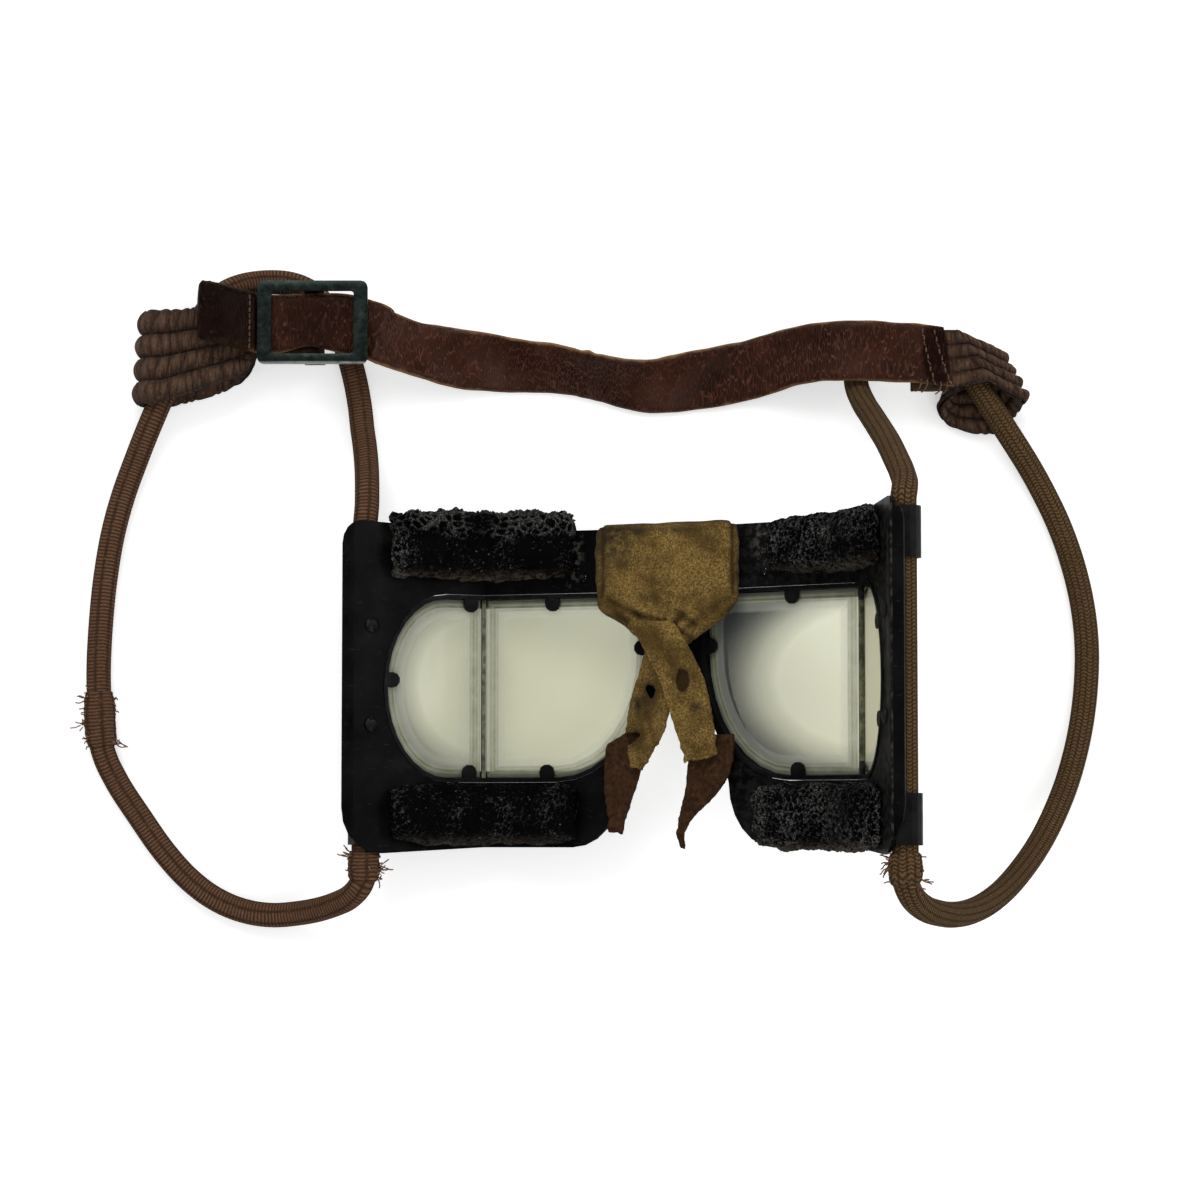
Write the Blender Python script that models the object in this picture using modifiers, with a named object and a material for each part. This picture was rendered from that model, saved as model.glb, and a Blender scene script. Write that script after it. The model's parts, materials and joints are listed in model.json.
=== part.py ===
"""Flying goggles with a folded metal face plate and a sprung leather headband.

They lie front down, rolled onto the wearer's left wing, with the headband
spread above them. X runs across the goggles, Y up the face, Z off the ground.
"""
import math

import bmesh
import bpy
from mathutils import Matrix, Vector

# Clearance between touching pieces, and how far a cut runs past a face
GAP = 0.0003
OVERRUN = 0.001

# Face plate: one black sheet, folded at the nose and at each temple
PLATE_THICKNESS = 0.0009
LENS_HALF_HEIGHT = 0.02175
PLATE_PAST_LENS = 0.01835
PLATE_HALF_HEIGHT = LENS_HALF_HEIGHT + PLATE_PAST_LENS
PLATE_TOP_DIP = 0.0019
PLATE_CORNER = 0.0055
BRIDGE_WIDTH = 0.0157
FRONT_LENGTH = 0.042
WING_PAST_LENS = 0.0086
LIP_LENGTH = 0.003
LIP_RADIUS = 0.0014
NOSE_FOLD = math.radians(7.5)
TEMPLE_FOLD = math.radians(47.5)
LIP_FOLD = math.radians(-60)
NOTCH_HALF_WIDTH = 0.0143
NOTCH_BELOW_CURVE = 0.00325
LOBE_WIDTH = 0.0127
LOBE_HEIGHT = 0.0155
PLATE_FRONT_RISE = 0.0014

# How the goggles lie: rolled, with the nose at this place
ROLL = math.radians(27)
NOSE_X = 0.0229
NOSE_Y = -0.0299

# Lens cells and their glass
LENS_SIDE_LENGTH = 0.0259
LENS_OUTER_CURVE = 0.016
LENS_NOSE_TOP_CURVE = 0.007
LENS_NOSE_LOW_WIDTH = 0.023
LENS_NOSE_LOW_HEIGHT = 0.030
CELL_WALL = 0.0006
CELL_DEPTH = 0.0070
CELL_STAND = 0.00015
CELL_LIP_WIDTH = 0.0015
CELL_LIP_THICKNESS = 0.0008
GLASS_SINK = 0.0008
GLASS_CHAMFER = 0.0010
JOINT_HALF_WIDTH = 0.0005
TAB_WIDTH = 0.0034
TAB_LENGTH = 0.0030
TAB_THICKNESS = 0.0005
TAB_STAND = 0.00005

# Sponge rubber pads and the chamois nose pad
PAD_HEIGHT = 0.0085
PAD_SHORT_OF_LENS_END = 0.00055
LEFT_UPPER_PAD_START = 0.0257
LEFT_UPPER_PAD_FROM_EDGE = 0.0055
LEFT_UPPER_PAD_WIDTH = 0.0179
LEFT_LOWER_PAD_START = 0.0252
LEFT_LOWER_PAD_FROM_EDGE = 0.0094
LEFT_LOWER_PAD_WIDTH = 0.0148
RIGHT_UPPER_PAD_START = 0.0282
RIGHT_UPPER_PAD_FROM_EDGE = 0.0078
RIGHT_UPPER_PAD_WIDTH = 0.0139
RIGHT_LOWER_PAD_START = 0.0235
RIGHT_LOWER_PAD_FROM_EDGE = 0.0086
RIGHT_LOWER_PAD_WIDTH = 0.0160
NOSE_PAD_HALF_WIDTH = 0.0198
NOSE_PAD_FROM_EDGE = 0.0013
NOSE_PAD_LENGTH = 0.0210
NOSE_PAD_HEIGHT = 0.0070
NECK_HALF_WIDTH = 0.0050
NECK_Y = 0.0098

# Chamois flaps and the brown leather pieces sewn under them
FLAP_THICKNESS = 0.0009
FLAP_WIDTH = 0.0115
FLAP_DROP = 0.0275
FLAP_SPREAD = 0.0140
UNDER_FLAP_THICKNESS = 0.0009
UNDER_FLAP_DROP = 0.0215

# Elastic cords and the sheet clips that hold them to the wings
CORD_DIAMETER = 0.0060
CORD_SIDES_RESOLUTION = 2
CORD_BEND_STEP = math.radians(16)
CORD_PAST_LENS = 0.0042
CLIP_THICKNESS = 0.0007
CLIP_LENGTH = 0.0117
CLIP_FOOT = 0.0044
CLIP_CORNER_RADIUS = 0.0010
CLIP_FROM_EDGE = 0.0079
SPLICE_WALL = 0.0007
SPLICE_LENGTH = 0.0050

# Rivets
CLIP_RIVET_RADIUS = 0.0008
CLIP_RIVET_SPACING = 0.0066
CLIP_RIVET_HEAD = 0.0014
WING_RIVET_RADIUS = 0.0010
WING_RIVET_HEAD = 0.0019
WING_RIVET_UPPER_Y = 0.0149
WING_RIVET_LOWER_Y = -0.0091
BRIDGE_RIVET_RADIUS = 0.0006
BRIDGE_RIVET_HEAD = 0.0010
BRIDGE_RIVET_FROM_NOSE = 0.0242
BRIDGE_RIVET_PAST_LENS = 0.00495
RIVET_HEAD_HEIGHT = 0.0007

# Headband: leather strap, slide buckle and two sprung cloth panels
STRAP_WIDTH = 0.0143
STRAP_THICKNESS = 0.0018
STRAP_SPAN = 0.1571
STRAP_DIP = 0.0142
TAIL_LENGTH = 0.0140
TAIL_FOLD_LENGTH = 0.0115
TAIL_RISE = 0.0046
BUCKLE_X = -0.0655
BUCKLE_Y = 0.0593
BUCKLE_SIDE_BAR = 0.0034
BUCKLE_CROSS_BAR = 0.00245
BUCKLE_THICKNESS = 0.0015
BUCKLE_OPENING = 0.0201
BUCKLE_CORNER = 0.0016
BUCKLE_ROCK_ROOM = 0.0012
WINDOW_SIDE_ROOM = 0.0006
LUG_THICKNESS = 0.0013
LUG_WALL = 0.0008
PIN_RADIUS = 0.0014
LOOP_THICKNESS = 0.0008
LOOP_LENGTH = 0.0138
PATCH_LENGTH = 0.0098
PATCH_THICKNESS = 0.0008
PATCH_SHIFT = 0.0010
SPRING_RADIUS = 0.00075
CLOTH_THICKNESS = 0.0005
PUFF_HEIGHT = 0.0004
SEAM_GAP = 0.00015
PANEL_END_WIDTH = 0.0138
LEFT_PANEL_REACH = 0.0330
LEFT_PANEL_TOP_DROP = 0.0034
LEFT_PANEL_LOW_DROP = 0.0124
LEFT_FOLD_SKEW = 0.0014
RIGHT_PANEL_REACH = 0.0190
RIGHT_PANEL_DROP = 0.0110
RIGHT_SEWN_LENGTH = 0.0051

TOLERANCE = 1e-6
MERGE_DISTANCE = 1e-7


def clear_scene():
    for item in list(bpy.data.objects):
        bpy.data.objects.remove(item, do_unlink=True)


def new_collection(name):
    collection = bpy.data.collections.new(name)
    bpy.context.scene.collection.children.link(collection)
    return collection


clear_scene()
PARTS = new_collection("flying_goggles")


def finish(name, colour, roughness, metallic=0.0):
    """A plain material with the colour, roughness and metal of one real finish."""
    material = bpy.data.materials.new(name)
    material.use_nodes = True
    shader = material.node_tree.nodes["Principled BSDF"]
    shader.inputs["Base Color"].default_value = (*colour, 1.0)
    shader.inputs["Roughness"].default_value = roughness
    shader.inputs["Metallic"].default_value = metallic
    return material


BLACK_PAINT = finish("black_paint", (0.010, 0.010, 0.012), 0.45)
BLACK_STEEL = finish("blackened_steel", (0.012, 0.012, 0.013), 0.5, 0.6)
GLASS = finish("laminated_glass", (0.72, 0.73, 0.60), 0.08)
CEMENT = finish("joint_cement", (0.30, 0.29, 0.20), 0.4)
SPONGE = finish("sponge_rubber", (0.012, 0.012, 0.013), 0.95)
CHAMOIS = finish("chamois", (0.26, 0.16, 0.055), 0.9)
UNDER_LEATHER = finish("brown_lining_leather", (0.065, 0.024, 0.011), 0.8)
LEFT_BRAID = finish("left_cord_braid", (0.115, 0.048, 0.026), 0.85)
RIGHT_BRAID = finish("right_cord_braid", (0.115, 0.065, 0.026), 0.85)
CLOTH = finish("ruched_cloth", (0.072, 0.034, 0.018), 0.9)
STRAP_LEATHER = finish("strap_leather", (0.042, 0.016, 0.009), 0.45)
BUCKLE_STEEL = finish("buckle_steel", (0.045, 0.075, 0.065), 0.35, 0.9)
SPRING_STEEL = finish("spring_steel", (0.35, 0.33, 0.30), 0.4, 1.0)
RIVET_STEEL = finish("rivet_metal", (0.03, 0.03, 0.03), 0.4, 0.8)


def add_object(name, data, material, parent=None, smooth=False):
    item = bpy.data.objects.new(name, data)
    PARTS.objects.link(item)
    data.materials.clear()
    data.materials.append(material)
    item.parent = parent
    if smooth and isinstance(data, bpy.types.Mesh):
        data.shade_smooth()
        data.set_sharp_from_angle(angle=math.radians(35))
    return item


def mesh_from(work):
    """Turns a bmesh into mesh data with its faces pointing out."""
    bmesh.ops.recalc_face_normals(work, faces=work.faces)
    mesh = bpy.data.meshes.new("shape")
    work.to_mesh(mesh)
    work.free()
    return mesh


def flat_sheet(outlines, low, high):
    """A flat sheet between two heights, filled inside closed outlines."""
    curve = bpy.data.curves.new("outline", "CURVE")
    curve.dimensions = "2D"
    curve.fill_mode = "BOTH"
    curve.extrude = (high - low) / 2
    for outline in outlines:
        spline = curve.splines.new("POLY")
        spline.points.add(len(outline) - 1)
        for point, (x, y) in zip(spline.points, outline):
            point.co = (x, y, 0, 1)
        spline.use_cyclic_u = True
    guide = bpy.data.objects.new("outline", curve)
    mesh = bpy.data.meshes.new_from_object(guide)
    work = bmesh.new()
    work.from_mesh(mesh)
    bpy.data.objects.remove(guide)
    bpy.data.curves.remove(curve)
    bpy.data.meshes.remove(mesh)
    bmesh.ops.remove_doubles(work, verts=work.verts, dist=MERGE_DISTANCE)
    bmesh.ops.translate(work, verts=work.verts, vec=(0, 0, (low + high) / 2))
    return work


def loft(rings, closed=False):
    """Joins rings of points, with a flat cap on each end unless it is closed."""
    work = bmesh.new()
    made = [[work.verts.new(point) for point in ring] for ring in rings]
    following = made[1:] + made[:1] if closed else made[1:]
    for near, far in zip(made, following):
        for k in range(len(near)):
            j = (k + 1) % len(near)
            work.faces.new((near[k], near[j], far[j], far[k]))
    if not closed:
        work.faces.new(list(reversed(made[0])))
        work.faces.new(made[-1])
    return work


def combined(first, others, operation):
    """One solid from a first shape and others that are joined to it or cut from it."""
    made = []
    for work in [first] + others:
        item = bpy.data.objects.new("piece", mesh_from(work))
        bpy.context.scene.collection.objects.link(item)
        made.append(item)
    for other in made[1:]:
        modifier = made[0].modifiers.new("join", "BOOLEAN")
        modifier.operation = operation
        modifier.solver = "EXACT"
        modifier.object = other
    bpy.context.view_layer.update()
    graph = bpy.context.evaluated_depsgraph_get()
    mesh = bpy.data.meshes.new_from_object(made[0].evaluated_get(graph))
    work = bmesh.new()
    work.from_mesh(mesh)
    for item in made:
        old = item.data
        bpy.data.objects.remove(item)
        bpy.data.meshes.remove(old)
    return work


def stations_of(folds, length):
    """Corners of a folded sheet's section: distance along it, place and mitre."""
    turns = []
    for distance, turn, radius, steps in folds:
        arc = abs(turn) * radius
        for k in range(steps):
            turns.append((distance + arc * ((k + 0.5) / steps - 0.5), turn / steps))
    heading = 0.0
    along = 0.0
    place = Vector((0, 0))
    stations = [(0.0, place.copy(), Vector((0, 1)))]
    for distance, turn in turns:
        place += Vector((math.cos(heading), math.sin(heading))) * (distance - along)
        middle = heading + turn / 2
        mitre = Vector((-math.sin(middle), math.cos(middle))) / math.cos(turn / 2)
        stations.append((distance, place.copy(), mitre))
        heading += turn
        along = distance
    place += Vector((math.cos(heading), math.sin(heading))) * (length - along)
    stations.append((length, place.copy(), Vector((-math.sin(heading), math.cos(heading)))))
    return stations


def folded(stations, distance, height, square=True):
    """Where a point of the flat sheet lies once the sheet is folded.

    Square sections stand straight up and meet at the mitre of a fold. The
    others lean evenly from one fold to the next, as soft pieces do.
    """
    last = len(stations) - 2
    index = 0
    while index < last and distance > stations[index + 1][0] - TOLERANCE:
        index += 1
    start, place, mitre = stations[index]
    end, next_place, next_mitre = stations[index + 1]
    length = end - start
    share = (distance - start) / length
    if not square:
        return place.lerp(next_place, share) + mitre.lerp(next_mitre, share) * height
    heading = (next_place - place).normalized()
    normal = Vector((-heading.y, heading.x))
    low = heading.dot(mitre) * height
    high = length + heading.dot(next_mitre) * height
    along = min(max(distance - start, low), high)
    if share < TOLERANCE:
        along = low
    return place + heading * along + normal * height


def fold_sheet(work, stations, both_sides=True):
    """Folds a flat piece: it is split along every fold line and then bent."""
    for side in (1, -1) if both_sides else (1,):
        for distance, _, _ in stations[1:-1]:
            bmesh.ops.bisect_plane(
                work,
                geom=list(work.verts) + list(work.edges) + list(work.faces),
                dist=TOLERANCE,
                plane_co=(side * distance, 0, 0),
                plane_no=(1, 0, 0),
            )
    for vert in work.verts:
        side = -1 if both_sides and vert.co.x < 0 else 1
        place = folded(stations, abs(vert.co.x) if both_sides else vert.co.x, vert.co.z)
        vert.co = (side * place.x, vert.co.y, place.y)
    return work


def smooth_course(points, count):
    """Rows of numbers spaced along a smooth curve through the given rows."""
    rows = [Vector(p) for p in points]
    steps = [max((b.xyz - a.xyz).length, TOLERANCE) for a, b in zip(rows, rows[1:])]
    slopes = [(b - a) / step for a, b, step in zip(rows, rows[1:], steps)]
    tangents = [slopes[0]]
    for k in range(1, len(rows) - 1):
        both = steps[k - 1] + steps[k]
        tangents.append((slopes[k - 1] * steps[k] + slopes[k] * steps[k - 1]) / both)
    tangents.append(slopes[-1])
    fine = []
    for k, step in enumerate(steps):
        for part in range(16):
            t = part / 16
            near = rows[k] * (1 + 2 * t) + tangents[k] * step * t
            far = rows[k + 1] * (3 - 2 * t) - tangents[k + 1] * step * (1 - t)
            fine.append(near * (1 - t) ** 2 + far * t * t)
    fine.append(rows[-1])
    along = [0.0]
    for near, far in zip(fine, fine[1:]):
        along.append(along[-1] + (far.xyz - near.xyz).length)
    result = []
    index = 0
    for k in range(count):
        target = along[-1] * k / (count - 1)
        while index < len(fine) - 2 and along[index + 1] < target:
            index += 1
        share = (target - along[index]) / max(along[index + 1] - along[index], TOLERANCE)
        result.append(fine[index].lerp(fine[index + 1], min(share, 1.0)))
    return result


# Heights that follow the lens and the plate's edge
NOTCH_TOP = LENS_NOSE_LOW_HEIGHT - LENS_HALF_HEIGHT - NOTCH_BELOW_CURVE
BRIDGE_RIVET_Y = LENS_HALF_HEIGHT + BRIDGE_RIVET_PAST_LENS
CLIP_Y = PLATE_HALF_HEIGHT - CLIP_FROM_EDGE
LEFT_UPPER_PAD_Y = PLATE_HALF_HEIGHT - LEFT_UPPER_PAD_FROM_EDGE
LEFT_LOWER_PAD_Y = LEFT_LOWER_PAD_FROM_EDGE - PLATE_HALF_HEIGHT
RIGHT_UPPER_PAD_Y = PLATE_HALF_HEIGHT - RIGHT_UPPER_PAD_FROM_EDGE
RIGHT_LOWER_PAD_Y = RIGHT_LOWER_PAD_FROM_EDGE - PLATE_HALF_HEIGHT
NOSE_PAD_TOP = PLATE_HALF_HEIGHT - NOSE_PAD_FROM_EDGE
NOSE_PAD_LOW = NOSE_PAD_TOP - NOSE_PAD_LENGTH

# Section of the face plate
TEMPLE_AT = BRIDGE_WIDTH / 2 + FRONT_LENGTH
LENS_END_AT = TEMPLE_AT + LENS_SIDE_LENGTH
LIP_AT = LENS_END_AT + WING_PAST_LENS + abs(LIP_FOLD) * LIP_RADIUS / 2
RIM_AT = LIP_AT + LIP_LENGTH
PLATE_SECTION = stations_of(
    (
        (BRIDGE_WIDTH / 2, NOSE_FOLD, 0, 1),
        (TEMPLE_AT, TEMPLE_FOLD, 0, 1),
        (LIP_AT, LIP_FOLD, LIP_RADIUS, 2),
    ),
    RIM_AT,
)
WING_ANGLE = NOSE_FOLD + TEMPLE_FOLD


def roll_height(distance, height):
    """Height above the nose of a point on the low side once the goggles are rolled."""
    place = folded(PLATE_SECTION, distance, height)
    return place.y * math.cos(ROLL) - place.x * math.sin(ROLL)


NOSE_Z = -roll_height(TEMPLE_AT, -CELL_DEPTH)
FRONT = bpy.data.objects.new("front_pose", None)
PARTS.objects.link(FRONT)
FRONT.location = (NOSE_X, NOSE_Y, NOSE_Z)
FRONT.rotation_euler = (0, -ROLL, 0)
FRONT_MATRIX = Matrix.Translation(FRONT.location) @ Matrix.Rotation(-ROLL, 4, "Y")


def on_plate(side, distance, y, height, square=True):
    """A point of the unrolled plate, by distance from the nose, y and height."""
    place = folded(PLATE_SECTION, distance, height, square)
    return Vector((side * place.x, y, place.y))


def on_facet(side, front, distance, y, height):
    """The same on the endless plane of the front facet or of the wing."""
    fold = PLATE_SECTION[1] if front else PLATE_SECTION[2]
    angle = NOSE_FOLD if front else WING_ANGLE
    heading = Vector((math.cos(angle), math.sin(angle)))
    normal = Vector((-heading.y, heading.x))
    place = fold[1] + heading * (distance - fold[0]) + normal * height
    return Vector((side * place.x, y, place.y))


def wing_frame(side, distance, y, height):
    """A frame on a wing: X away from the nose, Z towards the face."""
    outward = Vector((side * math.cos(WING_ANGLE), 0, math.sin(WING_ANGLE)))
    up = Vector((-side * math.sin(WING_ANGLE), 0, math.cos(WING_ANGLE)))
    across = up.cross(outward)
    matrix = Matrix((outward, across, up)).transposed().to_4x4()
    matrix.translation = on_plate(side, distance, y, height)
    return matrix


def front_frame(side, distance, y, height):
    """The same frame on a front facet."""
    outward = Vector((side * math.cos(NOSE_FOLD), 0, math.sin(NOSE_FOLD)))
    up = Vector((-side * math.sin(NOSE_FOLD), 0, math.cos(NOSE_FOLD)))
    across = up.cross(outward)
    matrix = Matrix((outward, across, up)).transposed().to_4x4()
    matrix.translation = on_plate(side, distance, y, height)
    return matrix


def quarter(centre, width, height, start, steps):
    """Points and outward normals along a quarter of an ellipse."""
    points = []
    for k in range(steps + 1):
        angle = start + math.pi / 2 * k / steps
        c = math.cos(angle)
        s = math.sin(angle)
        normal = Vector((c * height, s * width)).normalized()
        points.append((Vector((centre[0] + width * c, centre[1] + height * s)), normal))
    return points


def lens_outline(side, offset):
    """The edge of a lens on the unfolded plate, moved out by an offset."""
    outer = LENS_END_AT
    inner = TEMPLE_AT - FRONT_LENGTH
    half = LENS_HALF_HEIGHT
    top_small = LENS_NOSE_TOP_CURVE
    corners = (
        quarter((outer - LENS_OUTER_CURVE, 0), LENS_OUTER_CURVE, half, 0, 8),
        quarter((inner + top_small, half - top_small), top_small, top_small, math.pi / 2, 4),
        quarter(
            (inner + LENS_NOSE_LOW_WIDTH, LENS_NOSE_LOW_HEIGHT - half),
            LENS_NOSE_LOW_WIDTH,
            LENS_NOSE_LOW_HEIGHT,
            math.pi,
            8,
        ),
        quarter((outer - LENS_OUTER_CURVE, 0), LENS_OUTER_CURVE, half, math.pi * 1.5, 8)[:-1],
    )
    points = [point + normal * offset for corner in corners for point, normal in corner]
    return [(side * point.x, point.y) for point in points]


def circle(x, y, radius, steps=8):
    turn = 2 * math.pi / steps
    return [
        (x + radius * math.cos(turn * (k + 0.5)), y + radius * math.sin(turn * (k + 0.5)))
        for k in range(steps)
    ]


def arc_points(centre, width, height, start, end, steps):
    return [
        (
            centre[0] + width * math.cos(start + (end - start) * k / steps),
            centre[1] + height * math.sin(start + (end - start) * k / steps),
        )
        for k in range(steps + 1)
    ]


def plate_outline():
    """The cut edge of the unfolded plate, round both halves."""
    half = PLATE_HALF_HEIGHT
    corner = PLATE_CORNER
    right_angle = math.pi / 2
    dip_end_share = 0.85
    right = [(TEMPLE_AT * dip_end_share, half - PLATE_TOP_DIP)]
    right += arc_points((RIM_AT - corner, half - corner), corner, corner, right_angle, 0, 4)
    right += arc_points(
        (RIM_AT - corner * 2, corner * 2 - half), corner * 2, corner * 2, 0, -right_angle, 5
    )
    front_low = PLATE_FRONT_RISE - half
    right.append((TEMPLE_AT, front_low))
    right += arc_points(
        (NOTCH_HALF_WIDTH + LOBE_WIDTH, front_low + LOBE_HEIGHT),
        LOBE_WIDTH,
        LOBE_HEIGHT,
        -right_angle,
        -2 * right_angle,
        6,
    )
    side_low = front_low + LOBE_HEIGHT
    notch_shares = ((0.80, 0.62), (0.54, 0.36), (0.30, 0.16))
    right += [
        (NOTCH_HALF_WIDTH * x_share, NOTCH_TOP + (side_low - NOTCH_TOP) * y_share)
        for x_share, y_share in notch_shares
    ]
    left = [(-x, y) for x, y in reversed(right)]
    return right + [(0, NOTCH_TOP)] + left


CORD_AT = LENS_END_AT + CORD_PAST_LENS
CORD_RADIUS = CORD_DIAMETER / 2
CORD_HEIGHT = -PLATE_THICKNESS - GAP - CORD_RADIUS
ARC_RADIUS = CORD_RADIUS + GAP
CLIP_TURN = math.radians(85)
CLIP_CORNER_RISE = CLIP_CORNER_RADIUS * (1 - math.cos(CLIP_TURN))
CLIP_ARC_RISE = CORD_RADIUS + ARC_RADIUS * math.cos(CLIP_TURN)
CLIP_WALL = (CLIP_ARC_RISE - CLIP_CORNER_RISE) / math.sin(CLIP_TURN)
CLIP_ARC_TURN = CLIP_TURN + math.pi / 2
CLIP_CORNER_AT = CLIP_FOOT + CLIP_CORNER_RADIUS * CLIP_TURN / 2
CLIP_ARC_START = CLIP_FOOT + CLIP_CORNER_RADIUS * CLIP_TURN + CLIP_WALL
CLIP_ARC_AT = CLIP_ARC_START + ARC_RADIUS * CLIP_ARC_TURN / 2
CLIP_DEVELOPED = CLIP_ARC_START + ARC_RADIUS * CLIP_ARC_TURN + CORD_RADIUS
CLIP_SECTION = stations_of(
    (
        (CLIP_CORNER_AT, CLIP_TURN, CLIP_CORNER_RADIUS, 2),
        (CLIP_ARC_AT, -CLIP_ARC_TURN, ARC_RADIUS, 8),
    ),
    CLIP_DEVELOPED,
)
# How far the cord's middle lies past the start of the clip's foot
CLIP_REACH = (
    CLIP_FOOT
    + (CLIP_CORNER_RADIUS + ARC_RADIUS) * math.sin(CLIP_TURN)
    + CLIP_WALL * math.cos(CLIP_TURN)
)
CLIP_RIVET_AT = CLIP_FOOT / 2
CLIP_START_AT = CORD_AT - CLIP_REACH


def face_plate():
    """The black sheet with its two lens openings, nose notch and rivet holes."""
    outlines = [plate_outline()]
    opening = GAP * 2 + CELL_WALL
    for side in (1, -1):
        outlines.append(lens_outline(side, opening))
        for clip_y in (CLIP_Y, -CLIP_Y):
            for shift in (CLIP_RIVET_SPACING / 2, -CLIP_RIVET_SPACING / 2):
                x = side * (CLIP_START_AT + CLIP_RIVET_AT)
                outlines.append(circle(x, clip_y + shift, CLIP_RIVET_RADIUS + GAP))
        for y in (WING_RIVET_UPPER_Y, WING_RIVET_LOWER_Y):
            outlines.append(circle(side * CORD_AT, y, WING_RIVET_RADIUS + GAP))
        outlines.append(
            circle(side * BRIDGE_RIVET_FROM_NOSE, BRIDGE_RIVET_Y, BRIDGE_RIVET_RADIUS + GAP)
        )
    work = fold_sheet(flat_sheet(outlines, -PLATE_THICKNESS, 0), PLATE_SECTION)
    add_object("face_plate", mesh_from(work), BLACK_PAINT, FRONT)


def tab_prism(side, x, y, inward):
    """A round-ended tab that reaches from the cell's wall over the glass."""
    direction = Vector(inward).normalized()
    across = Vector((-direction.y, direction.x))
    root = Vector((x, y)) - direction * (CELL_WALL / 2 + GAP)
    half = TAB_WIDTH / 2
    length = TAB_LENGTH + CELL_WALL / 2 + GAP - half
    outline = [root - across * half, root - across * half + direction * length]
    tip = root + direction * length
    for k in range(1, 5):
        angle = math.pi * k / 5
        reach = direction * math.sin(angle) * half
        outline.append(tip - across * math.cos(angle) * half + reach)
    outline += [root + across * half + direction * length, root + across * half]
    points = [(side * point.x, point.y) for point in outline]
    return flat_sheet([points], TAB_STAND - TAB_THICKNESS, TAB_STAND)


def outer_edge(y):
    """How far from the nose the lens's round outer end lies at a height."""
    bulge = math.sqrt(1 - (y / LENS_HALF_HEIGHT) ** 2)
    return LENS_END_AT - LENS_OUTER_CURVE * (1 - bulge)


TAB_TOP_SHARES = (0.135, -0.425)
TAB_LOW_SHARES = (0.150, -0.390)
NOSE_TAB_SHARE = 0.43
LEFT_OUTER_TAB_SHARES = (0.08,)
RIGHT_OUTER_TAB_SHARES = (0.60, -0.45)


def lens_cell(name, side, outer_tab_shares):
    """A pressed ring round the glass, with a lip in front and tabs behind."""
    low = -CELL_DEPTH
    lip_top = low + CELL_LIP_THICKNESS
    inside = GAP
    outside = GAP + CELL_WALL
    profile = (
        (outside, low),
        (outside, CELL_STAND),
        (inside, CELL_STAND),
        (inside, lip_top),
        (-CELL_LIP_WIDTH, lip_top),
        (-CELL_LIP_WIDTH, low),
    )
    rings = [
        [Vector((x, y, height)) for x, y in lens_outline(side, offset)]
        for offset, height in profile
    ]
    tabs = []
    for share in TAB_TOP_SHARES:
        x = TEMPLE_AT + share * (LENS_SIDE_LENGTH if share > 0 else FRONT_LENGTH)
        tabs.append(tab_prism(side, x, LENS_HALF_HEIGHT, (0, -1)))
    for share in TAB_LOW_SHARES:
        x = TEMPLE_AT + share * (LENS_SIDE_LENGTH if share > 0 else FRONT_LENGTH)
        tabs.append(tab_prism(side, x, -LENS_HALF_HEIGHT, (0, 1)))
    nose_y = NOSE_TAB_SHARE * LENS_HALF_HEIGHT
    tabs.append(tab_prism(side, TEMPLE_AT - FRONT_LENGTH, nose_y, (1, 0)))
    for share in outer_tab_shares:
        y = share * LENS_HALF_HEIGHT
        tabs.append(tab_prism(side, outer_edge(y), y, (-1, -share / 2)))
    work = combined(loft(rings, closed=True), tabs, "UNION")
    add_object(name, mesh_from(fold_sheet(work, PLATE_SECTION)), BLACK_STEEL, FRONT)


GLASS_LOW = -CELL_DEPTH + CELL_LIP_THICKNESS + GAP


def pane(name, side, front):
    """One flat pane of laminated glass with a ground edge on the face side."""
    lean = math.tan(TEMPLE_FOLD / 2)
    limit = (JOINT_HALF_WIDTH + GAP) / math.cos(TEMPLE_FOLD / 2)
    way = 1 if front else -1
    rings = []
    levels = (
        (0, GLASS_LOW),
        (0, -GLASS_SINK - GLASS_CHAMFER),
        (-GLASS_CHAMFER, -GLASS_SINK),
    )
    for offset, height in levels:
        cut = TEMPLE_AT - way * (limit - offset + height * lean)
        top = LENS_HALF_HEIGHT + offset
        kept = [(x, y) for x, y in lens_outline(1, offset) if (x < TEMPLE_AT) == front]
        if not front:
            turn = next(k for k, (x, y) in enumerate(kept) if y < 0)
            kept = kept[turn:] + kept[:turn]
        ring = [(cut, way * top)] + kept + [(cut, -way * top)]
        rings.append([on_facet(side, front, x, y, height) for x, y in ring])
    add_object(name, mesh_from(loft(rings)), GLASS, FRONT)


def joint_strip(name, side):
    """The bar of cement where the two panes of a lens meet."""
    lean = math.tan(TEMPLE_FOLD / 2)
    half = JOINT_HALF_WIDTH / math.cos(TEMPLE_FOLD / 2)
    rings = []
    for y in (-LENS_HALF_HEIGHT, LENS_HALF_HEIGHT):
        ring = []
        for front, height in (
            (True, GLASS_LOW),
            (False, GLASS_LOW),
            (False, -GLASS_SINK),
            (True, -GLASS_SINK),
        ):
            way = 1 if front else -1
            cut = TEMPLE_AT - way * (half + height * lean)
            ring.append(on_facet(side, front, cut, y, height))
        rings.append(ring)
    add_object(name, mesh_from(loft(rings)), CEMENT, FRONT)


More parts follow.
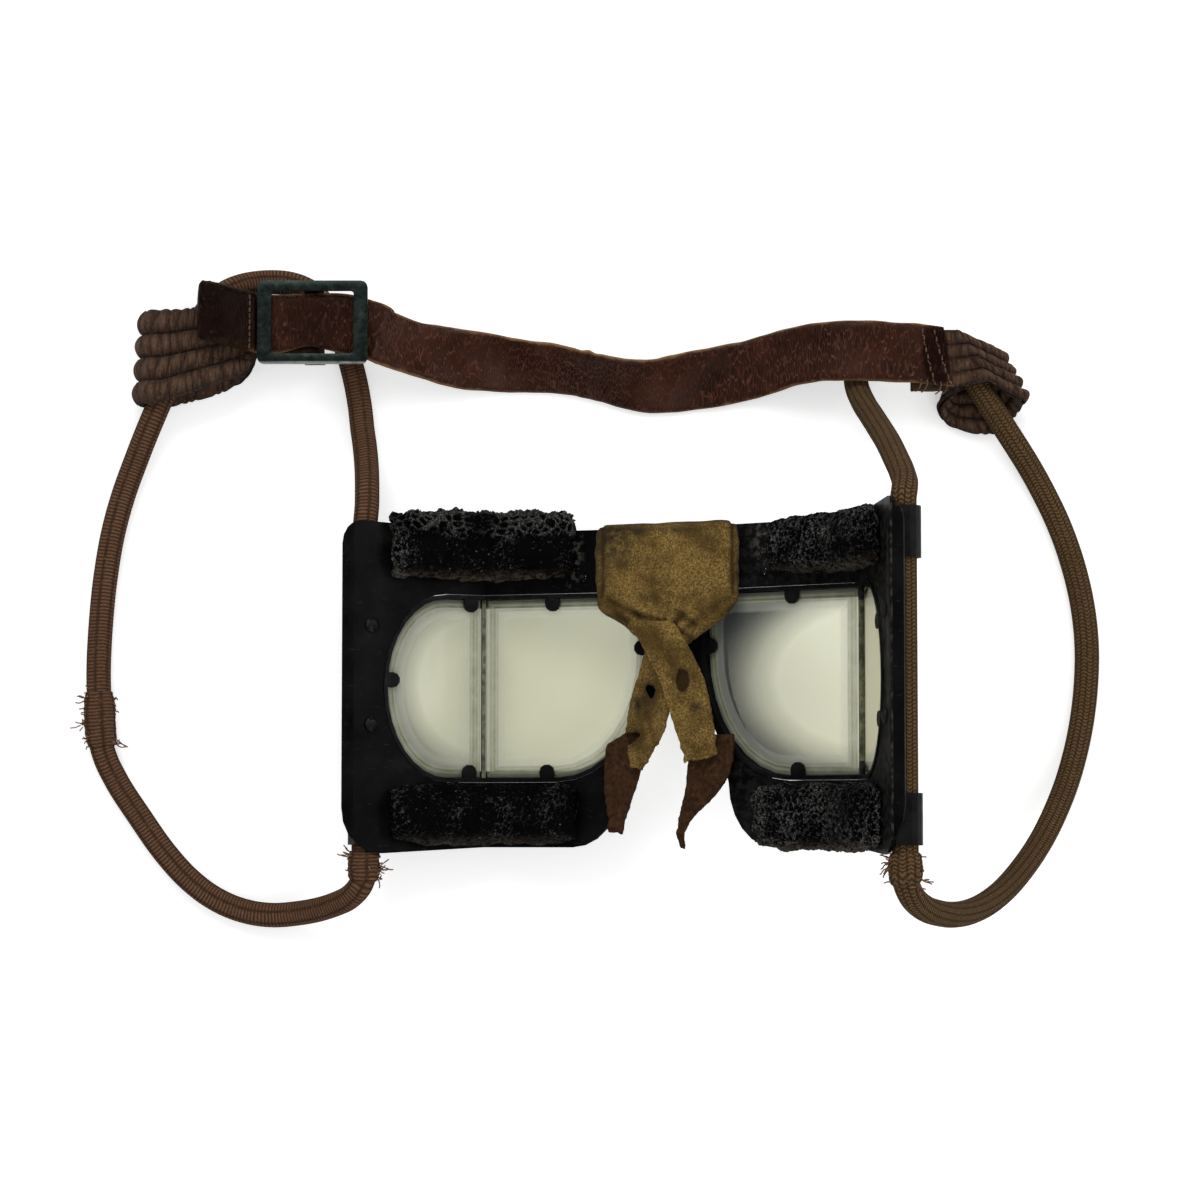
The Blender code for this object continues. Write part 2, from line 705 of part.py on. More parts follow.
def sponge_pad(name, side, start, middle_y, width):
    """A loaf of sponge rubber laid over the temple fold, flat below and crowned above."""
    rings = []
    steps = 12
    for k in range(steps + 1):
        share = k / steps
        swell = max((1 - abs(2 * share - 1) ** 4) ** 0.25, 0.45)
        distance = start + (LENS_END_AT - PAD_SHORT_OF_LENS_END - start) * share
        ring = []
        for j in range(10):
            angle = math.pi * j / 9
            reach = math.copysign(abs(math.cos(angle)) ** 0.6, math.cos(angle))
            rise = math.sin(angle) ** 0.6 if 0 < j < 9 else 0.0
            y = middle_y + reach * width / 2 * (0.7 + 0.3 * swell)
            ring.append(on_plate(side, distance, y, GAP + rise * PAD_HEIGHT * swell, False))
        rings.append(ring)
    add_object(name, mesh_from(loft(rings)), SPONGE, FRONT, smooth=True)


def pads():
    sponge_pad(
        "left_upper_sponge_pad", -1, LEFT_UPPER_PAD_START, LEFT_UPPER_PAD_Y, LEFT_UPPER_PAD_WIDTH
    )
    sponge_pad(
        "left_lower_sponge_pad", -1, LEFT_LOWER_PAD_START, LEFT_LOWER_PAD_Y, LEFT_LOWER_PAD_WIDTH
    )
    sponge_pad(
        "right_upper_sponge_pad", 1, RIGHT_UPPER_PAD_START, RIGHT_UPPER_PAD_Y, RIGHT_UPPER_PAD_WIDTH
    )
    sponge_pad(
        "right_lower_sponge_pad", 1, RIGHT_LOWER_PAD_START, RIGHT_LOWER_PAD_Y, RIGHT_LOWER_PAD_WIDTH
    )


def nose_pad():
    """The chamois block over the bridge, rolled at its sides and drawn in to a neck."""
    # Height down the pad, half width and fullness, as shares
    shape_shares = (
        (1.00, 0.93, 0.55),
        (0.95, 0.98, 0.90),
        (0.70, 1.00, 1.00),
        (0.35, 1.00, 1.00),
        (0.10, 0.97, 0.98),
        (-0.05, 0.86, 0.90),
        (-0.20, 0.55, 0.80),
        (-0.38, 0.28, 0.75),
    )
    rings = []
    for y_share, width_share, full_share in shape_shares:
        y = NOSE_PAD_LOW + (NOSE_PAD_TOP - NOSE_PAD_LOW) * y_share
        half = NOSE_PAD_HALF_WIDTH * width_share
        ring = []
        for j in range(14):
            angle = 2 * math.pi * j / 14
            reach = math.copysign(abs(math.cos(angle)) ** 0.5, math.cos(angle))
            rise = math.copysign(abs(math.sin(angle)) ** 0.5, math.sin(angle))
            middle = GAP * 2 + NOSE_PAD_HEIGHT / 2
            height = middle + rise * NOSE_PAD_HEIGHT / 2 * full_share
            across = reach * half
            side = -1 if across < 0 else 1
            ring.append(on_plate(side, abs(across), y, height, False))
        rings.append(ring)
    add_object("chamois_nose_pad", mesh_from(loft(rings)), CHAMOIS, FRONT, smooth=True)


def hanging_strip(name, course, thickness, material):
    """A strip of soft leather along a course of (x, y, height, half width, lean)."""
    rows = smooth_course([row[:3] for row in course], 9)
    widths = smooth_course([(k, row[3], row[4]) for k, row in enumerate(course)], 9)
    rings = []
    for k, row in enumerate(rows):
        near = rows[max(k - 1, 0)]
        far = rows[min(k + 1, len(rows) - 1)]
        along = (far - near).normalized()
        if k == 0:
            along = Vector((0, -1, 0))
        across = along.cross(Vector((0, 0, 1))).normalized()
        lean = widths[k].z
        across = (across * math.cos(lean) + Vector((0, 0, 1)) * math.sin(lean)).normalized()
        up = across.cross(along).normalized() * thickness / 2
        reach = across * widths[k].y
        ring = []
        for corner in (-reach - up, reach - up, reach + up, up - reach):
            place = row + corner
            side = -1 if place.x < 0 else 1
            ring.append(on_plate(side, abs(place.x), place.y, place.z, False))
        rings.append(ring)
    return add_object(name, mesh_from(loft(rings)), material, FRONT)


def flaps():
    """The crossed chamois tongues and the brown leather pieces that line them."""
    neck = NOSE_PAD_LOW - (NOSE_PAD_TOP - NOSE_PAD_LOW) * 0.38 - GAP * 2
    wide = FLAP_WIDTH / 2
    drop = FLAP_DROP
    spread = FLAP_SPREAD
    rise = NOSE_PAD_HEIGHT
    lean = math.radians(8)
    left = (
        (-0.10, 0.00, 0.62, 0.72),
        (-0.30, 0.36, 0.60, 0.84),
        (-0.41, 0.62, 0.56, 1.02),
        (-0.56, 0.84, 0.50, 0.86),
        (-0.66, 1.06, 0.46, 0.30),
    )
    hanging_strip(
        "left_chamois_flap",
        [(spread * x, neck - drop * y, rise * z, wide * w, -lean) for x, y, z, w in left],
        FLAP_THICKNESS,
        CHAMOIS,
    )
    right = (
        (0.14, 0.00, 0.95, 1.00),
        (0.31, 0.18, 1.00, 1.00),
        (0.43, 0.36, 0.98, 0.97),
        (0.59, 0.68, 0.86, 0.88),
        (0.70, 0.98, 0.74, 0.76),
    )
    hanging_strip(
        "right_chamois_flap",
        [(spread * x, neck - drop * y, rise * z, wide * w, lean) for x, y, z, w in right],
        FLAP_THICKNESS,
        CHAMOIS,
    )
    fall = UNDER_FLAP_DROP
    low = neck - drop
    left_under = (
        (-0.91, -0.30, 0.20, 0.85),
        (-0.96, 0.10, 0.19, 0.90),
        (-1.05, 0.42, 0.18, 0.75),
        (-1.07, 0.64, 0.175, 0.50),
        (-1.10, 0.79, 0.17, 0.34),
    )
    hanging_strip(
        "left_under_flap",
        [(spread * x, low - fall * y, rise * z, wide * w, 0) for x, y, z, w in left_under],
        UNDER_FLAP_THICKNESS,
        UNDER_LEATHER,
    )
    right_under = (
        (0.95, -0.30, 0.42, 0.80),
        (0.80, -0.02, 0.40, 1.10),
        (0.54, 0.32, 0.34, 0.88),
        (0.25, 0.60, 0.27, 0.46),
        (0.12, 0.80, 0.18, 0.22),
        (0.17, 0.98, 0.12, 0.07),
    )
    hanging_strip(
        "right_under_flap",
        [(spread * x, low - fall * y, rise * z, wide * w, 0) for x, y, z, w in right_under],
        UNDER_FLAP_THICKNESS,
        UNDER_LEATHER,
    )


def cord_clip(name, side, middle_y):
    """A sheet strap, riveted to the wing's outside by its foot and wrapped over the cord."""
    half = CLIP_LENGTH / 2
    outline = [(0, -half), (CLIP_DEVELOPED, -half), (CLIP_DEVELOPED, half), (0, half)]
    holes = [
        circle(CLIP_RIVET_AT, shift, CLIP_RIVET_RADIUS + GAP)
        for shift in (CLIP_RIVET_SPACING / 2, -CLIP_RIVET_SPACING / 2)
    ]
    work = flat_sheet([outline] + holes, 0, CLIP_THICKNESS)
    work = fold_sheet(work, CLIP_SECTION, both_sides=False)
    item = add_object(name, mesh_from(work), BLACK_STEEL, FRONT)
    frame = wing_frame(side, CLIP_START_AT, middle_y, -PLATE_THICKNESS - GAP)
    item.matrix_basis = frame @ Matrix.Rotation(math.pi, 4, "X")


def turned_piece(name, profile, matrix, material, steps=8):
    """A round piece: a profile that runs down its outer side, turned about Z."""
    mesh = bpy.data.meshes.new("profile")
    points = [(radius, 0, height) for radius, height in profile]
    mesh.from_pydata(points, [(k, k + 1) for k in range(len(points) - 1)], [])
    item = add_object(name, mesh, material, FRONT)
    item.matrix_basis = matrix
    screw = item.modifiers.new("turn", "SCREW")
    screw.axis = "Z"
    screw.angle = 2 * math.pi
    screw.steps = steps
    screw.render_steps = steps
    screw.use_merge_vertices = True
    screw.merge_threshold = TOLERANCE
    screw.use_smooth_shade = False
    return item


def clip_rivets(side_name, side):
    """Rivets through each clip's foot: flush inside the wing, headed outside."""
    top = -PLATE_THICKNESS * 0.1
    clip_face = -PLATE_THICKNESS - GAP - CLIP_THICKNESS
    head_top = clip_face - GAP
    profile = (
        (0, top),
        (CLIP_RIVET_RADIUS, top),
        (CLIP_RIVET_RADIUS, head_top),
        (CLIP_RIVET_HEAD, head_top),
        (CLIP_RIVET_HEAD * 0.7, head_top - RIVET_HEAD_HEIGHT),
        (0, head_top - RIVET_HEAD_HEIGHT),
    )
    for level, clip_y in (("upper", CLIP_Y), ("lower", -CLIP_Y)):
        for number, shift in ((1, CLIP_RIVET_SPACING / 2), (2, -CLIP_RIVET_SPACING / 2)):
            frame = wing_frame(side, CLIP_START_AT + CLIP_RIVET_AT, clip_y + shift, 0)
            name = f"{side_name}_{level}_clip_rivet_{number}"
            turned_piece(name, profile, frame, RIVET_STEEL)


def domed_rivet(name, frame, radius, head):
    """A rivet with a low dome on the face side and a flush tail."""
    low = -PLATE_THICKNESS * 0.9
    profile = (
        (0, GAP + RIVET_HEAD_HEIGHT),
        (head * 0.6, GAP + RIVET_HEAD_HEIGHT * 0.85),
        (head, GAP + RIVET_HEAD_HEIGHT * 0.3),
        (head, GAP),
        (radius, GAP),
        (radius, low),
        (0, low),
    )
    turned_piece(name, profile, frame, RIVET_STEEL)


def plate_rivets(side_name, side):
    upper = wing_frame(side, CORD_AT, WING_RIVET_UPPER_Y, 0)
    lower = wing_frame(side, CORD_AT, WING_RIVET_LOWER_Y, 0)
    bridge = front_frame(side, BRIDGE_RIVET_FROM_NOSE, BRIDGE_RIVET_Y, 0)
    domed_rivet(f"{side_name}_wing_rivet_upper", upper, WING_RIVET_RADIUS, WING_RIVET_HEAD)
    domed_rivet(f"{side_name}_wing_rivet_lower", lower, WING_RIVET_RADIUS, WING_RIVET_HEAD)
    domed_rivet(f"{side_name}_bridge_rivet", bridge, BRIDGE_RIVET_RADIUS, BRIDGE_RIVET_HEAD)


# Levels of the headband, from the ground up
LAYER_HALF = SPRING_RADIUS + GAP * 1.5 + CLOTH_THICKNESS
END_HALF = SEAM_GAP + CLOTH_THICKNESS
FOLD_RADIUS = CORD_RADIUS + GAP + LAYER_HALF
LOWER_LAYER_Z = LAYER_HALF + PUFF_HEIGHT
FOLD_Z = LOWER_LAYER_Z + FOLD_RADIUS
UPPER_LAYER_Z = FOLD_Z + FOLD_RADIUS
LOOP_INNER = 2 * END_HALF + GAP * 1.5
LOOP_OUTER = LOOP_INNER + LOOP_THICKNESS
PIN_Z = CORD_DIAMETER + GAP * 2 + LOOP_OUTER
LEFT_UPPER_END_Z = PIN_Z + END_HALF + GAP / 2
LEFT_LOWER_END_Z = PIN_Z - END_HALF - GAP / 2
STRAP_LEFT_Z = PIN_Z + LOOP_OUTER + GAP + STRAP_THICKNESS / 2
FRAME_LOW_Z = STRAP_LEFT_Z + STRAP_THICKNESS / 2 + BUCKLE_ROCK_ROOM
RIGHT_UPPER_END_Z = UPPER_LAYER_Z
RIGHT_LOWER_END_Z = RIGHT_UPPER_END_Z - 2 * END_HALF - GAP
STRAP_RIGHT_Z = RIGHT_UPPER_END_Z + END_HALF + GAP * 3 + STRAP_THICKNESS / 2
PATCH_TOP_Z = RIGHT_LOWER_END_Z - END_HALF - GAP
STRAP_END_X = BUCKLE_X + STRAP_SPAN
STRAP_END_Y = BUCKLE_Y - STRAP_DIP * 0.585
LEFT_END_X = BUCKLE_X - LOOP_INNER - GAP * 2 - PIN_RADIUS
RIGHT_END_X = STRAP_END_X - RIGHT_SEWN_LENGTH


def strap_rings():
    """The strap's course: folded tail, run through the buckle, then out to its right end."""
    fold_gap = (STRAP_THICKNESS + GAP) / 2
    stop_x = BUCKLE_X - BUCKLE_OPENING / 2 - BUCKLE_SIDE_BAR - GAP * 3
    tail_x = stop_x - TAIL_FOLD_LENGTH
    level = STRAP_LEFT_Z
    course = []
    tail_shares = ((0.0, 0.04), (0.30, 0.42), (0.62, 0.80), (0.90, 0.98), (1.0, 1.0))
    for x_share, z_share in tail_shares:
        x = stop_x - TAIL_FOLD_LENGTH * x_share
        z = level + TAIL_RISE * z_share + 2 * fold_gap
        course.append((x, BUCKLE_Y, z, 0))
    turn_z = level + TAIL_RISE + fold_gap
    for angle in (45, 90, 135):
        bend = math.radians(angle)
        x = tail_x - fold_gap * math.sin(bend)
        course.append((x, BUCKLE_Y, turn_z + fold_gap * math.cos(bend), 0))
    for x_share, z_share in reversed(tail_shares):
        x = stop_x - TAIL_FOLD_LENGTH * x_share
        course.append((x, BUCKLE_Y, level + TAIL_RISE * z_share, 0))
    run_start = len(course)
    course.append((BUCKLE_X - BUCKLE_OPENING / 2, BUCKLE_Y, level, 0))
    course.append((BUCKLE_X, BUCKLE_Y, level, 0))
    # Along the strap, down the dip, rise off the ground, lean in degrees
    course_shares = (
        (0.066, 0.02, 1.00, 0),
        (0.096, 0.14, 0.93, -3),
        (0.127, 0.30, 0.74, -15),
        (0.168, 0.42, 0.48, -12),
        (0.290, 0.61, 0.03, 26),
        (0.393, 0.73, 0.00, 44),
        (0.447, 0.86, 0.00, 47),
        (0.519, 1.00, 0.00, 34),
        (0.609, 0.86, 0.00, 12),
        (0.685, 0.70, 0.10, 4),
        (0.760, 0.50, 0.55, 0),
        (0.838, 0.48, 0.96, 0),
        (0.932, 0.52, 1.00, 0),
        (1.000, 0.585, 1.00, 0),
    )
    for x_share, y_share, rise_share, lean in course_shares:
        tilt = math.radians(lean)
        floor = GAP + (STRAP_WIDTH * abs(math.sin(tilt)) + STRAP_THICKNESS * math.cos(tilt)) / 2
        high = STRAP_LEFT_Z if x_share < 0.5 else STRAP_RIGHT_Z
        z = floor + (high - floor) * rise_share
        course.append((BUCKLE_X + STRAP_SPAN * x_share, BUCKLE_Y - STRAP_DIP * y_share, z, tilt))
    rows = [Vector(row) for row in course[:run_start]]
    rows += smooth_course(course[run_start:], 30)
    rings = []
    for k, row in enumerate(rows):
        near = rows[max(k - 1, 0)].to_3d()
        far = rows[min(k + 1, len(rows) - 1)].to_3d()
        along = (far - near).normalized()
        across = Vector((0, 1, 0))
        across = (across - along * along.dot(across)).normalized()
        up = along.cross(across)
        tilt = row.w
        wide = (across * math.cos(tilt) + up * math.sin(tilt)) * STRAP_WIDTH / 2
        thick = (up * math.cos(tilt) - across * math.sin(tilt)) * STRAP_THICKNESS / 2
        middle = row.to_3d()
        rings.append(
            [middle - wide - thick, middle + wide - thick, middle + wide + thick, middle - wide + thick]
        )
    return rings


def strap():
    add_object("leather_strap", mesh_from(loft(strap_rings())), STRAP_LEATHER)
    x_high = STRAP_END_X - GAP * 3
    x_low = x_high - PATCH_LENGTH
    y = STRAP_END_Y - PATCH_SHIFT
    half = PANEL_END_WIDTH / 2
    outline = [(x_low, y - half), (x_high, y - half), (x_high, y + half), (x_low, y + half)]
    work = flat_sheet([outline], PATCH_TOP_Z - PATCH_THICKNESS, PATCH_TOP_Z)
    add_object("right_end_patch", mesh_from(work), STRAP_LEATHER)


def leather_loop():
    """The leather tab that holds the buckle's pin and the left panel's two ends."""
    radius = LOOP_INNER + LOOP_THICKNESS / 2
    path = [(-LOOP_LENGTH, -radius, -90), (-LOOP_LENGTH / 2, -radius, -90)]
    for k in range(9):
        angle = -90 + 180 * k / 8
        turn = math.radians(angle)
        path.append((radius * math.cos(turn), radius * math.sin(turn), angle))
    path += [(-LOOP_LENGTH / 2, radius, 90), (-LOOP_LENGTH, radius, 90)]
    rings = []
    for x, z, angle in path:
        out = Vector((math.cos(math.radians(angle)), 0, math.sin(math.radians(angle))))
        middle = Vector((BUCKLE_X + x, BUCKLE_Y, PIN_Z + z))
        wide = Vector((0, STRAP_WIDTH / 2, 0))
        thick = out * LOOP_THICKNESS / 2
        rings.append(
            [middle - wide - thick, middle + wide - thick, middle + wide + thick, middle - wide + thick]
        )
    add_object("left_leather_loop", mesh_from(loft(rings)), STRAP_LEATHER)


def rounded_box(width, height, corner):
    right_angle = math.pi / 2
    points = []
    for k, (x, y) in enumerate(((1, 1), (-1, 1), (-1, -1), (1, -1))):
        centre = (x * (width / 2 - corner), y * (height / 2 - corner))
        start = k * right_angle
        points += arc_points(centre, corner, corner, start, start + right_angle, 3)
    return points


def box_between(low, high):
    outline = [(low[0], low[1]), (high[0], low[1]), (high[0], high[1]), (low[0], high[1])]
    return flat_sheet([outline], low[2], high[2])


def buckle():
    """A flat slide frame with two lugs below it that carry the centre pin."""
    window = STRAP_WIDTH + 2 * WINDOW_SIDE_ROOM
    length = BUCKLE_OPENING + 2 * BUCKLE_SIDE_BAR
    height = window + 2 * BUCKLE_CROSS_BAR
    outlines = [
        rounded_box(length, height, BUCKLE_CORNER),
        rounded_box(BUCKLE_OPENING, window, BUCKLE_CORNER / 2),
    ]
    low = FRAME_LOW_Z - PIN_Z
    frame = flat_sheet(outlines, low, low + BUCKLE_THICKNESS)
    lug_half = PIN_RADIUS + GAP + LUG_WALL
    lug_in = window / 2 + GAP
    lug_out = lug_in + LUG_THICKNESS
    lugs = [
        box_between((-lug_half, lug_in, -lug_half), (lug_half, lug_out, low + BUCKLE_THICKNESS / 2)),
        box_between((-lug_half, -lug_out, -lug_half), (lug_half, -lug_in, low + BUCKLE_THICKNESS / 2)),
    ]
    whole = combined(frame, lugs, "UNION")
    bore = bmesh.new()
    bmesh.ops.create_cone(
        bore,
        cap_ends=True,
        segments=12,
        radius1=PIN_RADIUS + GAP,
        radius2=PIN_RADIUS + GAP,
        depth=2 * (lug_out + OVERRUN),
        matrix=Matrix.Rotation(math.pi / 2, 4, "X"),
    )
    whole = combined(whole, [bore], "DIFFERENCE")
    axis = bpy.data.objects.new("buckle_axis", None)
    PARTS.objects.link(axis)
    axis.location = (BUCKLE_X, BUCKLE_Y, PIN_Z)
    add_object("buckle_frame", mesh_from(whole), BUCKLE_STEEL, axis)
    pin = bmesh.new()
    bmesh.ops.create_cone(
        pin,
        cap_ends=True,
        segments=12,
        radius1=PIN_RADIUS,
        radius2=PIN_RADIUS,
        depth=2 * lug_out,
        matrix=Matrix.Rotation(math.pi / 2, 4, "X"),
    )
    add_object("buckle_pin", mesh_from(pin), BUCKLE_STEEL, axis)


# Frames of a panel from its sewn end to its fold. Top and lower edge each as
# shares of the reach and of that edge's drop, then level and fullness.
LEFT_UPPER_SHARES = (
    (0.000, 0.00, 0.000, 0.00, 0.00, 0.0),
    (0.312, 0.00, 0.312, 0.00, 0.00, 0.0),
    (0.352, 0.20, 0.352, 0.26, 0.15, 0.4),
    (0.410, 0.36, 0.410, 0.40, 0.35, 0.8),
    (0.500, 0.52, 0.500, 0.53, 0.75, 1.0),
    (0.600, 0.66, 0.600, 0.64, 1.00, 1.0),
    (0.700, 0.80, 0.700, 0.73, 1.00, 1.0),
    (0.800, 0.90, 0.800, 0.82, 1.00, 1.0),
    (0.900, 1.00, 0.900, 0.91, 1.00, 1.0),
)
LEFT_LOWER_SHARES = (
    (0.000, 0.00, 0.000, 0.00, 0.00, 0.0),
    (0.312, 0.00, 0.312, 0.00, 0.00, 0.0),
    (0.350, 0.20, 0.350, 0.26, 0.25, 0.3),
    (0.395, 0.36, 0.395, 0.42, 0.60, 0.6),
    (0.460, 0.50, 0.460, 0.54, 0.90, 1.0),
    (0.550, 0.62, 0.550, 0.66, 1.00, 1.0),
    (0.660, 0.76, 0.660, 0.77, 1.00, 1.0),
    (0.780, 0.90, 0.780, 0.86, 1.00, 1.0),
    (0.900, 1.00, 0.900, 0.94, 1.00, 1.0),
)
# The right panel's two edges run at a slant, so its fold is given too
RIGHT_UPPER_SHARES = (
    (0.000, 0.00, 0.000, 0.00, 0.00, 0.0),
    (0.272, 0.00, 0.276, 0.02, 0.00, 0.0),
    (0.302, 0.01, 0.400, -0.02, 0.00, 0.6),
    (0.325, 0.02, 0.540, -0.06, 0.00, 1.0),
)
RIGHT_LOWER_SHARES = (
    (0.000, 0.58, 0.000, 0.00, 0.00, 0.0),
    (0.255, 0.68, 0.265, 0.04, 0.00, 0.0),
    (0.310, 0.92, 0.305, 0.10, 0.16, 0.0),
    (0.285, 1.01, 0.190, 0.22, 0.50, 0.2),
    (0.270, 1.05, 0.100, 0.44, 0.76, 0.5),
    (0.330, 1.06, 0.220, 0.72, 1.00, 0.9),
    (0.450, 0.90, 0.640, 0.95, 1.00, 1.0),
)
# Upper tangent, outermost and lower tangent line of each fold
LEFT_FOLD_SHARES = ((1.0, 1.0, 1.0, 1.0), None, (1.0, 1.0, 1.0, 1.0))
RIGHT_FOLD_SHARES = (
    (0.335, 0.03, 0.672, -0.12),
    (0.860, 0.46, 1.185, 0.33),
    (0.585, 0.86, 0.970, 0.87),
)
FOLD_STEPS = 8


def panel_frames(start, direction, reach, drops, skew, ends_z, upper, lower, fold):
    """Edges of a panel as it runs out, folds round the cord and comes back."""
    half = PANEL_END_WIDTH / 2

    def edges(shares, z):
        top_way, top_fall, low_way, low_fall = shares
        top = Vector((start[0] + direction * reach * top_way, start[1] + half, z))
        low = Vector((start[0] + direction * reach * low_way, start[1] - half, z))
        top.y -= drops[0] * top_fall
        low.y -= drops[1] * low_fall
        low.x += direction * skew * low_fall
        return top, low

    def layer(rows, end_z, layer_z):
        return [
            (*edges(row[:4], end_z + (layer_z - end_z) * row[4]), row[5]) for row in rows
        ]

    frames = layer(upper, ends_z[0], UPPER_LAYER_Z)
    for k in range(FOLD_STEPS + 1):
        angle = math.pi * k / FOLD_STEPS
        z = FOLD_Z + FOLD_RADIUS * math.cos(angle)
        base = fold[0] if k * 2 <= FOLD_STEPS else fold[2]
        near = edges(base, z)
        if fold[1]:
            far = edges(fold[1], z)
        else:
            out = Vector((direction * FOLD_RADIUS, 0, 0))
            far = [point + out for point in near]
        top = near[0].lerp(far[0], math.sin(angle))
        low = near[1].lerp(far[1], math.sin(angle))
        frames.append((top, low, 1.0))
    frames += reversed(layer(lower, ends_z[1], LOWER_LAYER_Z))
    result = []
    for k, (top, low, full) in enumerate(frames):
        before = frames[max(k - 1, 0)]
        after = frames[min(k + 1, len(frames) - 1)]
        faces = []
        for edge in (0, 1):
            along = after[edge] - before[edge]
            face = along.cross(top - low) * direction
            faces.append(face.normalized())
        result.append((top, low, faces[0], faces[1], full))
    return result


ROWS = 4


def across_frame(frame, reach):
    """A place between the two edges of a frame, and the way its cloth faces."""
    top, low, top_face, low_face, _ = frame
    share = (reach + 1) / 2
    return low.lerp(top, share), low_face.lerp(top_face, share).normalized()


def cloth_sheet(name, frames, outer):
    """One cloth of a panel, raised over each spring and gathered in puffs if it is outside."""
    sign = 1 if outer else -1
    rings = []
    for number, frame in enumerate(frames):
        full = frame[4]
        base = []
        crown = []
        for k in range(3 * ROWS + 1):
            lobe, part = divmod(k, 3)
            reach = -1 + 2 * (lobe + (0, 1 / 4, 3 / 4)[part]) / ROWS
            place, face = across_frame(frame, reach)
            raised = SPRING_RADIUS + GAP * 1.5 if part else SEAM_GAP
            height = SEAM_GAP + (raised - SEAM_GAP) * full
            thick = CLOTH_THICKNESS
            if outer and part and (number + lobe) % 2:
                thick += PUFF_HEIGHT * full
            base.append(place + face * sign * height)
            crown.append(place + face * sign * (height + thick))
        rings.append(base + list(reversed(crown)))
    add_object(name, mesh_from(loft(rings)), CLOTH)


def panel_springs(side_name, frames):
    """Four close-wound springs in the channels, drawn as round bars of their outer size."""
    full = [frame for frame in frames if frame[4] >= 0.99]
    for row in range(ROWS):
        reach = -1 + 2 * (row + 0.5) / ROWS
        curve = bpy.data.curves.new("spring", "CURVE")
        curve.dimensions = "3D"
        curve.bevel_depth = SPRING_RADIUS
        curve.bevel_resolution = 1
        curve.use_fill_caps = True
        spline = curve.splines.new("POLY")
        spline.points.add(len(full) - 1)
        for point, frame in zip(spline.points, full):
            point.co = (*across_frame(frame, reach)[0], 1)
        add_object(f"{side_name}_panel_spring_{row + 1}", curve, SPRING_STEEL)


def ruched_panel(side_name, frames):
    cloth_sheet(f"{side_name}_panel_ruched_cloth", frames, True)
    cloth_sheet(f"{side_name}_panel_lining", frames, False)
    panel_springs(side_name, frames)


def panels():
    left = panel_frames(
        (LEFT_END_X, BUCKLE_Y),
        -1,
        LEFT_PANEL_REACH,
        (LEFT_PANEL_TOP_DROP, LEFT_PANEL_LOW_DROP),
        LEFT_FOLD_SKEW,
        (LEFT_UPPER_END_Z, LEFT_LOWER_END_Z),
        LEFT_UPPER_SHARES,
        LEFT_LOWER_SHARES,
        LEFT_FOLD_SHARES,
    )
    ruched_panel("left", left)
    right = panel_frames(
        (RIGHT_END_X, STRAP_END_Y),
        1,
        RIGHT_PANEL_REACH,
        (RIGHT_PANEL_DROP, RIGHT_PANEL_DROP),
        0,
        (RIGHT_UPPER_END_Z, RIGHT_LOWER_END_Z),
        RIGHT_UPPER_SHARES,
        RIGHT_LOWER_SHARES,
        RIGHT_FOLD_SHARES,
    )
    ruched_panel("right", right)


def clip_line(side):
    """The two ends of the straight run that a cord makes through its clips."""
    high = FRONT_MATRIX @ on_plate(side, CORD_AT, CLIP_Y + CLIP_LENGTH / 2, CORD_HEIGHT)
    low = FRONT_MATRIX @ on_plate(side, CORD_AT, -CLIP_Y - CLIP_LENGTH / 2, CORD_HEIGHT)
    return low, high


def cord_points(route):
    """Points along a cord's smooth course, closer together where it bends."""
    fine = smooth_course(route, 600)
    spent = [0.0]
    for k in range(1, len(fine)):
        step = fine[k] - fine[k - 1]
        after = fine[min(k + 1, len(fine) - 1)] - fine[k - 1]
        bend = 2 * after.angle(step)
        spent.append(spent[-1] + step.length / (CORD_DIAMETER * 3) + bend / CORD_BEND_STEP)
    count = round(spent[-1])
    points = []
    index = 0
    for k in range(count):
        while spent[index] < spent[-1] * k / count:
            index += 1
        points.append(fine[index])
    return points + [fine[-1]]


def cord(name, route, material):
    """An elastic cord: a round tube on a smooth curve through its route."""
    points = cord_points(route)
    curve = bpy.data.curves.new(name, "CURVE")
    curve.dimensions = "3D"
    curve.bevel_depth = CORD_RADIUS
    curve.bevel_resolution = CORD_SIDES_RESOLUTION
    curve.use_fill_caps = True
    spline = curve.splines.new("POLY")
    spline.points.add(len(points) - 1)
    for point, place in zip(spline.points, points):
        point.co = (*place, 1)
    add_object(name, curve, material)


def splice(name, start, end, middle, material):
    """A sewn binding round the place where two cord ends meet."""
    axis = (Vector(end) - Vector(start)).normalized()
    across = axis.orthogonal().normalized()
    up = axis.cross(across)
    inside = CORD_RADIUS + GAP * 2
    outside = inside + SPLICE_WALL
    half = SPLICE_LENGTH / 2
    profile = ((inside, -half), (outside, -half * 0.8), (outside, half * 0.8), (inside, half))
    profile += ((inside - GAP * 0.2, half * 0.9), (inside - GAP * 0.2, -half * 0.9))
    rings = []
    for radius, along in profile:
        ring = []
        for k in range(10):
            angle = 2 * math.pi * k / 10
            offset = across * math.cos(angle) + up * math.sin(angle)
            ring.append(middle + axis * along + offset * radius)
        rings.append(ring)
    add_object(name, mesh_from(loft(rings, closed=True)), material)


LEFT_LOW, LEFT_HIGH = clip_line(-1)
RIGHT_LOW, RIGHT_HIGH = clip_line(1)

